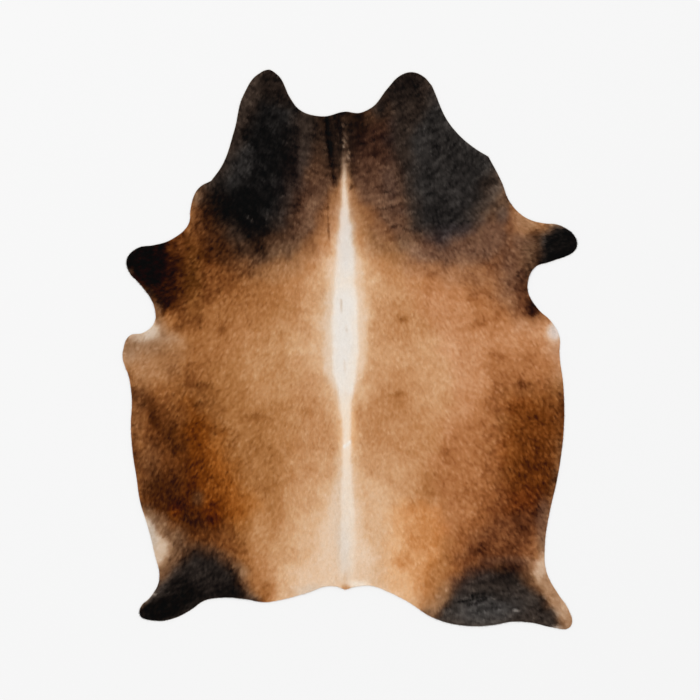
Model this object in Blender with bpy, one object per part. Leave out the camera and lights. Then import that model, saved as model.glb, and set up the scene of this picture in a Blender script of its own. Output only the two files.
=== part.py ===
"""Cowhide rug: one whole hair-on hide, cut along its natural outline and lying flat on the floor.

X runs across the hide, Y runs along it towards the neck and Z is up. The origin is on the floor,
under the middle of the rug. Sizes are in metres; the outline and fold tables are in millimetres.
"""

from collections import namedtuple
from math import ceil, cos, exp, radians, sin, tau

import bmesh
import bpy
from mathutils import Vector, kdtree
from mathutils.geometry import delaunay_2d_cdt, interpolate_bezier

MM = 0.001

# Driving dimensions
RUG_LENGTH = 2.240           # neck flaps to hind toes
RUG_WIDTH = 1.820            # left flank to the tip of the right foreleg
LEATHER_EDGE = 0.0022        # tanned leather at the cut edge
LEATHER_SPINE = 0.0034       # tanned leather along the spine, the thickest part of a hide
SPINE_HALF_WIDTH = 0.34      # how far the thick back leather reaches out from the spine
PILE = 0.0032                # loft of the short hair that lies on the leather
PILE_RUN = 0.010             # how far in from the cut edge the hair reaches its full loft
FOLD_STEEPNESS = 2.0         # how steeply a fold's sides fall; 2 leaves soft lips
FOLD_FADE = 0.7              # share of its depth that a fold loses by its far end

# Mesh sizes
RIM_STEP = 0.022             # longest step along the cut edge
FIELD_STEP = 0.048           # distance between the points of the hair side
CLEAR_SHARE = 0.6            # share of FIELD_STEP kept free beside the rim and the folds
FOLD_STEP = 0.016            # longest step along a fold
HANDLE_SHARE = 0.36          # length of a curve handle, as a share of the span it steers
MERGE_DISTANCE = 1e-6        # points closer than this become one
TRIANGLES_INSIDE = 1         # triangulation result: only the triangles inside the rim
SHARP_ANGLE = 0.6            # radians between faces that shade as an edge

HAIR_COLOUR = (0.49, 0.24, 0.10, 1.0)
HAIR_ROUGHNESS = 0.75

Landmark = namedtuple("Landmark", "place across along")
Fold = namedtuple("Fold", "name half_width depth route")
Wave = namedtuple("Wave", "name height pitch heading")
Trough = namedtuple("Trough", "half_width depth stations")
Station = namedtuple("Station", "point share")

# The cut edge, anticlockwise seen from above: place, across (X), along (Y), in millimetres.
# A place whose name ends in "corner" is a sharp turn; the curve runs smoothly through the rest.
NECK_EDGE = (
    Landmark("crest over the spine", -12, 953),
    Landmark("dip", -112, 934),
    Landmark("foot of the left flap", -214, 971),
)
LEFT_FLAP = (
    Landmark("inner side", -237, 1003),
    Landmark("inner shoulder", -299, 1107),
    Landmark("tip", -325, 1121),
    Landmark("outer shoulder", -364, 1106),
    Landmark("outer side", -429, 1017),
)
LEFT_SHOULDER = (
    Landmark("neck", -464, 881),
    Landmark("neck base", -522, 724),
    Landmark("notch corner", -558, 676),
    Landmark("shoulder point", -601, 653),
    Landmark("shoulder", -641, 560),
    Landmark("shoulder base", -645, 513),
    Landmark("elbow", -713, 444),
)
LEFT_FORELEG = (
    Landmark("top", -800, 417),
    Landmark("wrist", -841, 412),
    Landmark("tip", -898, 352),
    Landmark("heel", -887, 311),
    Landmark("under side", -844, 263),
    Landmark("arm hollow", -784, 163),
    Landmark("arm pit", -782, 119),
)
LEFT_FLANK = (
    Landmark("brisket", -840, 65),
    Landmark("point", -877, 61),
    Landmark("widest", -912, -8),
    Landmark("belly, upper", -885, -121),
    Landmark("belly", -876, -200),
    Landmark("belly, middle", -880, -300),
    Landmark("belly, lower", -874, -400),
    Landmark("waist, upper", -857, -513),
    Landmark("waist", -842, -611),
)
LEFT_HIND_LEG = (
    Landmark("thigh", -816, -693),
    Landmark("hollow", -788, -800),
    Landmark("shin", -771, -939),
    Landmark("ankle", -802, -990),
    Landmark("toe, outer", -842, -1032),
    Landmark("toe", -846, -1053),
    Landmark("sole", -772, -1085),
    Landmark("sole, inner", -711, -1076),
    Landmark("heel", -639, -1041),
    Landmark("hock", -587, -1005),
)
RUMP = (
    Landmark("left cheek, outer", -512, -992),
    Landmark("left cheek", -420, -998),
    Landmark("left cheek, lowest", -344, -1010),
    Landmark("left cheek, inner", -259, -996),
    Landmark("left slope", -172, -972),
    Landmark("left of the tail", -80, -945),
    Landmark("tail root, left", -46, -949),
    Landmark("tail stub", -20, -959),
    Landmark("tail root, right", 7, -951),
    Landmark("right of the tail", 96, -946),
    Landmark("right slope", 151, -967),
    Landmark("right cheek", 239, -1012),
    Landmark("right cheek, outer", 319, -1065),
)
RIGHT_HIND_LEG = (
    Landmark("heel", 488, -1106),
    Landmark("sole, inner", 580, -1101),
    Landmark("sole", 644, -1089),
    Landmark("toe, inner", 740, -1094),
    Landmark("toe pad", 808, -1110),
    Landmark("toe", 883, -1109),
    Landmark("ankle", 871, -1027),
    Landmark("shin", 844, -989),
    Landmark("hollow", 784, -868),
    Landmark("thigh", 782, -792),
)
RIGHT_FLANK = (
    Landmark("waist", 804, -637),
    Landmark("waist, upper", 825, -548),
    Landmark("belly, lower", 848, -420),
    Landmark("belly, middle", 860, -280),
    Landmark("belly, upper", 857, -148),
    Landmark("brisket, lower", 841, 0),
    Landmark("brisket", 843, 36),
    Landmark("arm pit", 802, 120),
)
RIGHT_FORELEG = (
    Landmark("arm hollow, lower", 759, 159),
    Landmark("arm hollow", 713, 260),
    Landmark("under side", 748, 334),
    Landmark("heel", 801, 351),
    Landmark("tip", 912, 424),
    Landmark("top", 833, 501),
    Landmark("wrist", 780, 506),
    Landmark("elbow", 721, 521),
)
RIGHT_SHOULDER = (
    Landmark("shoulder base", 637, 600),
    Landmark("shoulder", 611, 667),
    Landmark("shoulder corner", 556, 773),
    Landmark("neck base", 509, 801),
    Landmark("neck", 403, 900),
)
RIGHT_FLAP = (
    Landmark("outer corner", 329, 1056),
    Landmark("outer shoulder", 297, 1092),
    Landmark("tip", 244, 1111),
    Landmark("inner shoulder", 195, 1093),
    Landmark("inner side", 154, 1050),
    Landmark("foot", 78, 964),
    Landmark("edge of the crest", 30, 947),
)
OUTLINE = (
    NECK_EDGE + LEFT_FLAP + LEFT_SHOULDER + LEFT_FORELEG + LEFT_FLANK + LEFT_HIND_LEG
    + RUMP + RIGHT_HIND_LEG + RIGHT_FLANK + RIGHT_FORELEG + RIGHT_SHOULDER + RIGHT_FLAP
)

# Soft troughs that packing left in the hide: name, half width, depth, and a route that starts
# where the trough is deepest. All in millimetres.
FOLDS = (
    Fold("neck, long", 8, 2.0, ((-93, 915), (-86, 860), (-79, 800), (-72, 735), (-64, 672))),
    Fold("neck, short", 9, 1.3, ((-47, 918), (-45, 880), (-47, 838))),
    Fold("hind leg, lower", 7, 1.6, ((538, -990), (500, -1006), (462, -1024))),
    Fold("hind leg, upper", 6, 1.2, ((508, -974), (468, -996), (420, -1004))),
)

# The low waves that a tanned hide keeps: name, height and pitch in millimetres, heading in degrees
WAVES = (
    Wave("along the back", 0.25, 430, 82),
    Wave("across the flanks", 0.20, 560, 12),
    Wave("slanting", 0.20, 310, 140),
)


class Layout:
    """The tables' cut edge and folds as points in metres, at the rug's real size."""

    def __init__(self):
        """Stretch the drawn cut edge to the driving dimensions, and the folds with it."""
        drawn = smooth_edge([Vector((mark.across, mark.along)) * MM for mark in OUTLINE])
        low = Vector((min(point.x for point in drawn), min(point.y for point in drawn)))
        high = Vector((max(point.x for point in drawn), max(point.y for point in drawn)))
        self.middle = (low + high) / 2.0
        self.stretch = Vector((RUG_WIDTH / (high.x - low.x), RUG_LENGTH / (high.y - low.y)))
        self.rim = [self.place(point) for point in drawn]
        self.troughs = [self.trough(fold) for fold in FOLDS]

    def place(self, point):
        """A drawn point moved to its real place."""
        return (point - self.middle) * self.stretch

    def trough(self, fold):
        """A fold in metres, with evenly spaced stations along it."""
        route = [self.place(Vector(corner) * MM) for corner in fold.route]
        return Trough(fold.half_width * MM, fold.depth * MM, fold_stations(route))


def knot_directions(knots):
    """Directions in which the cut edge enters and leaves each landmark."""
    directions = []
    for index, mark in enumerate(OUTLINE):
        arriving = knots[index] - knots[index - 1]
        leaving = knots[(index + 1) % len(knots)] - knots[index]
        if mark.place.endswith("corner"):
            directions.append((arriving.normalized(), leaving.normalized()))
        else:
            smooth = arriving.normalized() * leaving.length + leaving.normalized() * arriving.length
            directions.append((smooth.normalized(), smooth.normalized()))
    return directions


def smooth_edge(knots):
    """Points along the smooth closed curve through the knots, at most RIM_STEP apart."""
    directions = knot_directions(knots)
    edge = []
    for index, knot in enumerate(knots):
        following = (index + 1) % len(knots)
        span = (knots[following] - knot).length
        handle = span * HANDLE_SHARE
        points = interpolate_bezier(
            knot,
            knot + directions[index][1] * handle,
            knots[following] - directions[following][0] * handle,
            knots[following],
            ceil(span / RIM_STEP) + 1,
        )
        edge.extend(point.to_2d() for point in points[:-1])
    return edge


def inset(rim, distance):
    """The rim moved inwards by a distance, square to the cut edge."""
    moved = []
    for index, point in enumerate(rim):
        tangent = (rim[(index + 1) % len(rim)] - rim[index - 1]).normalized()
        moved.append(point + Vector((-tangent.y, tangent.x)) * distance)
    return moved


def fold_stations(route):
    """Points along a fold at most FOLD_STEP apart, each with its share of the way along."""
    total = sum((end - start).length for start, end in zip(route, route[1:]))
    travelled = 0.0
    stations = []
    for start, end in zip(route, route[1:]):
        span = (end - start).length
        steps = ceil(span / FOLD_STEP)
        for step in range(steps):
            along = span * step / steps
            stations.append(Station(start.lerp(end, step / steps), (travelled + along) / total))
        travelled += span
    stations.append(Station(route[-1], 1.0))
    return stations


def trough_points(trough):
    """Points for the bottom of a trough and for both of its lips."""
    bottom = [station.point for station in trough.stations]
    lips = []
    for index, point in enumerate(bottom):
        before = bottom[max(index - 1, 0)]
        after = bottom[min(index + 1, len(bottom) - 1)]
        tangent = (after - before).normalized()
        sideways = Vector((-tangent.y, tangent.x)) * trough.half_width
        lips.extend((point + sideways, point - sideways))
    return bottom + lips


def trough_depth(point, troughs):
    """How deep the folds press the hair side down at a point."""
    depth = 0.0
    for trough in troughs:
        for station in trough.stations:
            offset = (point - station.point).length / trough.half_width
            fade = 1.0 - FOLD_FADE * station.share
            depth = max(depth, trough.depth * fade * exp(-FOLD_STEEPNESS * offset * offset))
    return depth


def leather(point):
    """Leather thickness: thickest along the spine, thinner towards the belly."""
    back = exp(-(point.x / SPINE_HALF_WIDTH) ** 2)
    return LEATHER_EDGE + (LEATHER_SPINE - LEATHER_EDGE) * back


def swell(point):
    """Height that the low waves add or take away at a point."""
    height = 0.0
    for wave in WAVES:
        heading = radians(wave.heading)
        along = point.x * cos(heading) + point.y * sin(heading)
        height += wave.height * MM * sin(tau * along / (wave.pitch * MM))
    return height


def hair_side(point, troughs):
    """Height of the hair side over the floor at a point away from the cut edge."""
    return leather(point) + PILE + swell(point) - trough_depth(point, troughs)


def field_points(edge, troughs):
    """Points for the hair side: the folds' own points and a staggered grid around them."""
    folds = [point for trough in troughs for point in trough_points(trough)]
    taken = edge + folds
    near = kdtree.KDTree(len(taken))
    for index, point in enumerate(taken):
        near.insert(point.to_3d(), index)
    near.balance()
    grid = []
    for row in range(ceil(RUG_LENGTH / FIELD_STEP)):
        y = row * FIELD_STEP - RUG_LENGTH / 2.0
        shift = 0.5 * (row % 2)
        for column in range(ceil(RUG_WIDTH / FIELD_STEP)):
            point = Vector(((column + shift) * FIELD_STEP - RUG_WIDTH / 2.0, y))
            if near.find(point.to_3d())[2] > CLEAR_SHARE * FIELD_STEP:
                grid.append(point)
    return folds + grid


def add_ring(mesh, points, heights):
    """A closed row of vertices at the given heights."""
    return [mesh.verts.new((point.x, point.y, z)) for point, z in zip(points, heights)]


def join_rings(mesh, lower, upper):
    """A band of quads between two rings of as many vertices."""
    for index, corner in enumerate(lower):
        following = (index + 1) % len(lower)
        mesh.faces.new((corner, lower[following], upper[following], upper[index]))


def cover_field(mesh, ring, edge, troughs):
    """Triangles over everything inside the ring, through the points of the hair side."""
    count = len(edge)
    loop = [(index, (index + 1) % count) for index in range(count)]
    given = edge + field_points(edge, troughs)
    points, _, triangles, sources, _, _ = delaunay_2d_cdt(
        given, loop, [], TRIANGLES_INSIDE, MERGE_DISTANCE)
    corners = {}
    for index in sorted({corner for triangle in triangles for corner in triangle}):
        source = min(sources[index])
        point = points[index]
        if source < count:
            corners[index] = ring[source]
        else:
            corners[index] = mesh.verts.new((point.x, point.y, hair_side(point, troughs)))
    for triangle in triangles:
        mesh.faces.new([corners[index] for index in triangle])


def hide_mesh():
    """Flat flesh side, upright cut edge, hair rising to its loft, and the hair side."""
    layout = Layout()
    rim = layout.rim
    edge = inset(rim, PILE_RUN)
    mesh = bmesh.new()
    floor_ring = add_ring(mesh, rim, [0.0] * len(rim))
    leather_ring = add_ring(mesh, rim, [LEATHER_EDGE] * len(rim))
    pile_ring = add_ring(mesh, edge, [hair_side(point, layout.troughs) for point in edge])
    mesh.faces.new(list(reversed(floor_ring)))
    join_rings(mesh, floor_ring, leather_ring)
    join_rings(mesh, leather_ring, pile_ring)
    cover_field(mesh, pile_ring, edge, layout.troughs)
    bmesh.ops.triangulate(mesh, faces=mesh.faces[:])
    bmesh.ops.recalc_face_normals(mesh, faces=mesh.faces[:])
    data = bpy.data.meshes.new("hide")
    mesh.to_mesh(data)
    mesh.free()
    return data


def hair_material():
    """Short tan hair."""
    material = bpy.data.materials.new("cow hair")
    material.use_nodes = True
    shader = material.node_tree.nodes["Principled BSDF"]
    shader.inputs["Base Color"].default_value = HAIR_COLOUR
    shader.inputs["Roughness"].default_value = HAIR_ROUGHNESS
    shader.inputs["Metallic"].default_value = 0.0
    return material


def build_hide():
    """The one cut piece of the rug."""
    data = hide_mesh()
    data.materials.append(hair_material())
    data.shade_smooth()
    data.set_sharp_from_angle(angle=SHARP_ANGLE)
    hide = bpy.data.objects.new("hide", data)
    bpy.context.scene.collection.objects.link(hide)


def main():
    """Clear the scene and build the rug."""
    for item in list(bpy.data.objects):
        bpy.data.objects.remove(item, do_unlink=True)
    build_hide()


main()
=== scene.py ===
"""Looks of the cowhide rug: the hide's surface, its short hair coat, its natural pattern and the studio.

Sizes are in metres unless the text beside them says millimetres. X runs across the hide, Y along it
towards the neck, Z is up, as in the frame. Colours are given as 0 to 255 screen values and turned linear.
"""

from __future__ import annotations

import logging
import math
from dataclasses import dataclass, field
from enum import Enum

import bmesh
import bpy
import numpy as np
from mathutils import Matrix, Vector
from mathutils.geometry import delaunay_2d_cdt

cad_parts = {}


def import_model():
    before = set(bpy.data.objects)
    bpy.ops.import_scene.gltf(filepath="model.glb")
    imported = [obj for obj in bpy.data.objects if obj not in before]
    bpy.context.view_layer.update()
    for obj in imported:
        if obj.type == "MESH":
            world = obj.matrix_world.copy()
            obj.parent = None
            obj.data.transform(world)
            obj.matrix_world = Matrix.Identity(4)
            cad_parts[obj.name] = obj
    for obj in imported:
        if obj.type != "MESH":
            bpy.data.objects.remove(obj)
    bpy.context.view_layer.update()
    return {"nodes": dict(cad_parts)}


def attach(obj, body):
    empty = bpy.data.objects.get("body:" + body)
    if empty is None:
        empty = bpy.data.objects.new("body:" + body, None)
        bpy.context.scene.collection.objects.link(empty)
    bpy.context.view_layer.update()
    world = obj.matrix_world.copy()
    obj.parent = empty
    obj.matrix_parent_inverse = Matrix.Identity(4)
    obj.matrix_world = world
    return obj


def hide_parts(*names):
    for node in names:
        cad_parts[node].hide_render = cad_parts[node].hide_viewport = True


LOG = logging.getLogger("cowhide_rug")
MM = 0.001

Points = np.ndarray      # rows of x, y in metres
Values = np.ndarray      # one number per point
Colours = np.ndarray     # rows of red, green, blue
Places = tuple[tuple[float, float], ...]      # x, y in millimetres
Node, Socket = bpy.types.Node, bpy.types.NodeSocket
Feeds = dict[str | int, object] | None        # what a node's inputs get: another's output, or a fixed value

SCREEN_WHITE = 255.0
# The screen's colour curve: end of its straight foot, that foot's slope, its offset and its power
FOOT, FOOT_SLOPE, CURVE_OFFSET, CURVE_POWER = 0.04045, 12.92, 0.055, 2.4


def smoothstep(low: float, high: float, value: Values) -> Values:
    """Soft step from 0 at low to 1 at high.

    Args:
        low: Value at which the step starts; may be larger than high for a falling step.
        high: Value at which the step ends.
        value: Values to test.

    Returns:
        Values from 0 to 1.
    """
    share = np.clip((value - low) / (high - low), 0.0, 1.0)
    return share * share * (3.0 - 2.0 * share)


def to_linear(screen: Colours) -> Colours:
    """Turn screen colours into linear ones.

    Args:
        screen: Colours from 0 to 255.

    Returns:
        Colours from 0 to 1.
    """
    share = np.clip(np.asarray(screen, float) / SCREEN_WHITE, 0.0, 1.0)
    curve = ((share + CURVE_OFFSET) / (1.0 + CURVE_OFFSET)) ** CURVE_POWER
    return np.where(share <= FOOT, share / FOOT_SLOPE, curve)


@dataclass(frozen=True)
class Mottle:
    """A smooth random field over the hide."""

    pitch: float  # distance between its lumps
    seed: int  # which of the endless such fields it is

    # A lattice corner's column, row and seed are mixed into a random word of 32 bits
    MIXERS = (374761393, 668265263, 2246822519, 1274126177, 2654435761)
    SHIFTS = (13, 16, 15)
    WORD = 0xFFFFFFFF
    HALF_WORD = 2147483648.0
    SEED_STEP = 17       # from one field of a sum to the next
    GAIN = 1.6           # widens a sum of fields again, so it is also the most that one reaches

    def _corner(self, column: Values, row: Values) -> Values:
        """Random value at each lattice corner.

        Args:
            column: The corners' columns.
            row: Their rows.

        Returns:
            One value from -1 to 1 per corner.
        """
        across, along, seed, first, second = self.MIXERS
        mixed = (column * across + row * along + self.seed * seed) & self.WORD
        mixed = ((mixed ^ (mixed >> self.SHIFTS[0])) * first) & self.WORD
        mixed = ((mixed ^ (mixed >> self.SHIFTS[1])) * second) & self.WORD
        return (mixed ^ (mixed >> self.SHIFTS[2])) / self.HALF_WORD - 1.0

    def at(self, points: Points) -> Values:
        """Value of the field at each point.

        Args:
            points: Where to read it.

        Returns:
            One value from -1 to 1 per point.
        """
        cell = np.floor(points / self.pitch)
        right, up = smoothstep(0.0, 1.0, points / self.pitch - cell).T
        column, row = cell.astype(np.int64).T
        lower = self._corner(column, row) * (1.0 - right) + self._corner(column + 1, row) * right
        upper = self._corner(column, row + 1) * (1.0 - right) + self._corner(column + 1, row + 1) * right
        return lower * (1.0 - up) + upper * up

    def rough(self, points: Points, octaves: int = 4) -> Values:
        """Sum of ever finer fields, from about -1 to 1.

        Args:
            points: Where to read it.
            octaves: How many fields, each half as coarse and half as strong as the last.

        Returns:
            One value per point.
        """
        total = np.zeros(len(points))
        weight = 0.0
        for octave in range(octaves):
            share = 0.5 ** octave
            total += share * Mottle(self.pitch * share, self.seed + self.SEED_STEP * octave).at(points)
            weight += share
        return total / weight * self.GAIN


def outline_distance(points: Points, outline: Points) -> Values:
    """Distance from each point to a closed outline, negative inside it.

    Args:
        points: Points to measure.
        outline: Corners of the outline, in the same units.

    Returns:
        One signed distance per point.
    """
    nearest = np.full(len(points), np.inf)
    inside = np.zeros(len(points), bool)
    for start, end in zip(outline, np.roll(outline, -1, axis=0)):
        side = end - start
        offset = points - start
        share = np.clip(offset @ side / (side @ side), 0.0, 1.0)
        gap = offset - share[:, None] * side
        nearest = np.minimum(nearest, np.einsum("ij,ij->i", gap, gap))
        if start[1] != end[1]:
            crosses = (start[1] > points[:, 1]) != (end[1] > points[:, 1])
            reach = start[0] + (points[:, 1] - start[1]) * side[0] / side[1]
            inside ^= crosses & (points[:, 0] < reach)
    return np.where(inside, -np.sqrt(nearest), np.sqrt(nearest))


def route_distance(points: Points, route: Points) -> tuple[Values, Values]:
    """Distance from each point to a route, and how far along it the nearest place is.

    Args:
        points: Points to measure.
        route: Places along the route, in the same units.

    Returns:
        Distances, and shares of the way along from 0 to 1.
    """
    spans = np.linalg.norm(np.diff(route, axis=0), axis=1)
    starts = np.concatenate([[0.0], np.cumsum(spans)])
    nearest = np.full(len(points), np.inf)
    along = np.zeros(len(points))
    for index, span in enumerate(spans):
        side = route[index + 1] - route[index]
        offset = points - route[index]
        share = np.clip(offset @ side / (span * span), 0.0, 1.0)
        gap = np.linalg.norm(offset - share[:, None] * side, axis=1)
        closer = gap < nearest
        nearest = np.where(closer, gap, nearest)
        along = np.where(closer, (starts[index] + share * span) / starts[-1], along)
    return nearest, along


@dataclass(frozen=True)
class Mark:
    """Hair that differs from the coat around it. Its sizes and places are in millimetres."""

    place: str  # where on the animal it lies
    level: float  # what it pulls the coat towards: a lightness, a share of full colour or a turn

    def cover(self, points: Points, wander: Values) -> Values:
        """Share of the mark's level that each point takes.

        Args:
            points: Where to read it, in metres.
            wander: The edge's random field at the points.

        Returns:
            One value from 0 to 1 per point.
        """
        spots = points / MM
        places, reach = self.extent()
        near = ((spots > places.min(axis=0) - reach) & (spots < places.max(axis=0) + reach)).all(axis=1)
        cover = np.zeros(len(points))
        cover[near] = self.share(spots[near], wander[near])
        return cover

    def extent(self) -> tuple[Points, float]:
        """Places that the mark lies around, and how far from them it reaches."""
        raise NotImplementedError

    def share(self, spots: Points, wander: Values) -> Values:
        """Share of the mark's level at spots near it, in millimetres."""
        raise NotImplementedError


@dataclass(frozen=True)
class Patch(Mark):
    """A soft oval patch."""

    across: float  # middle, across the hide
    along: float  # middle, along the hide
    reach_across: float  # half its size across
    reach_along: float  # half its size along
    turn: float = 0.0  # degrees by which it is turned anticlockwise
    strength: float = 1.0  # how far it pulls at its middle, from 0 to 1
    softness: float = 0.7  # share of its reach over which its edge fades
    ragged: float = 0.2  # how far the edge wanders, as a share of its reach

    def extent(self) -> tuple[Points, float]:
        """The patch's middle, and how far its soft ragged edge reaches."""
        reach = max(self.reach_across, self.reach_along) * (1.0 + self.softness + Mottle.GAIN * self.ragged)
        return np.array([[self.across, self.along]]), reach

    def share(self, spots: Points, wander: Values) -> Values:
        """Share of the mark's level.

        Args:
            spots: Places near it, in millimetres.
            wander: The edge's random field there.

        Returns:
            One value from 0 to 1 per spot.
        """
        turn = math.radians(self.turn)
        x, y = (spots - np.array([[self.across, self.along]])).T
        u = (x * math.cos(turn) + y * math.sin(turn)) / self.reach_across
        v = (y * math.cos(turn) - x * math.sin(turn)) / self.reach_along
        distance = np.sqrt(u * u + v * v) + self.ragged * wander
        return self.strength * smoothstep(1.0 + self.softness, 1.0 - self.softness, distance)


@dataclass(frozen=True)
class Region(Mark):
    """A patch with a drawn outline."""

    outline: Places  # corners of the outline, in order
    softness: float  # half the width of the band over which its edge fades
    ragged: float  # how far the edge wanders
    strength: float = 1.0  # how far it pulls inside, from 0 to 1

    def extent(self) -> tuple[Points, float]:
        """The outline's corners, and how far the soft ragged edge reaches past them."""
        return np.array(self.outline, float), self.softness + Mottle.GAIN * self.ragged

    def share(self, spots: Points, wander: Values) -> Values:
        """Share of the mark's level, for spots in millimetres."""
        distance = outline_distance(spots, np.array(self.outline, float)) + self.ragged * wander
        return self.strength * smoothstep(self.softness, -self.softness, distance)


@dataclass(frozen=True)
class Line(Mark):
    """A thin soft line that tapers at both ends."""

    half_width: float  # half its width at its middle
    route: Places  # places along it
    strength: float = 1.0  # how far it pulls at its middle, from 0 to 1
    ragged: float = 0.4  # how far its edge wanders, as a share of its half width

    # In half widths: where its edge starts to fade, where it ends, and the most it reaches when ragged
    CORE, RIM, REACH = 0.2, 1.6, 3.0
    # Shares of the route over which an end tapers, and by which it starts blunt
    TAPER, BLUNT = 0.12, 0.04

    def extent(self) -> tuple[Points, float]:
        """The route's places, and how far the ragged edge reaches from them."""
        return np.array(self.route, float), self.REACH * self.half_width

    def share(self, spots: Points, wander: Values) -> Values:
        """Share of the mark's level.

        Args:
            spots: Places near it, in millimetres.
            wander: The edge's random field there.

        Returns:
            One value from 0 to 1 per spot.
        """
        gap, along = route_distance(spots, np.array(self.route, float))
        tapered = smoothstep(0.0, self.TAPER, np.minimum(along, 1.0 - along) + self.BLUNT)
        distance = gap / self.half_width + self.ragged * wander
        return self.strength * tapered * smoothstep(self.RIM, self.CORE, distance)


@dataclass(frozen=True)
class Stripe(Mark):
    """A stripe that runs along the hide."""

    # Rows from the rump to the neck, each of a place along the hide, the stripe's left and right edge
    # there, and the share of its level that it reaches
    stations: tuple[tuple[float, float, float, float], ...]
    softness: float  # half the width of the band over which its edge fades
    ragged: float  # how far the edge wanders

    def extent(self) -> tuple[Points, float]:
        """Corners of an endless box, because the stripe runs the length of the hide."""
        return np.array([[-np.inf, -np.inf], [np.inf, np.inf]]), 0.0

    def share(self, spots: Points, wander: Values) -> Values:
        """Share of the mark's level.

        Args:
            spots: Places, in millimetres.
            wander: The edge's random field there.

        Returns:
            One value from 0 to 1 per spot.
        """
        x, y = spots.T
        along, *rows = np.array(self.stations, float).T
        left, right, share = (np.interp(y, along, row) for row in rows)
        outside = np.maximum(left - x, x - right) + self.ragged * wander
        return share * smoothstep(self.softness, -self.softness, outside)


# Colours of the hair at full colour, from black over brown and tan to white, as screen values
HAIR_RAMP = (
    (8, 6, 5), (27, 12, 6), (62, 29, 10), (90, 47, 19), (126, 72, 33), (158, 100, 52),
    (181, 123, 75), (198, 147, 102), (209, 164, 121), (221, 189, 157), (230, 212, 192), (235, 230, 223),
)
EYE_WEIGHTS = (0.30, 0.59, 0.11)      # shares of red, green and blue in a colour's lightness
TAN_LIGHTNESS = 134.0                 # lightness of the coat where no mark pulls it
# How much of the grain shows on hair of each lightness
GRAIN_SHOWN = (
    (10, 0.40), (30, 0.75), (60, 1.00), (100, 0.95), (130, 0.65), (160, 0.55), (200, 0.20), (230, 0.06),
)
# How a turn of one level towards rose changes red, green and blue
ROSE_TURN = (0.67, -0.45, 0.59)

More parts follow.
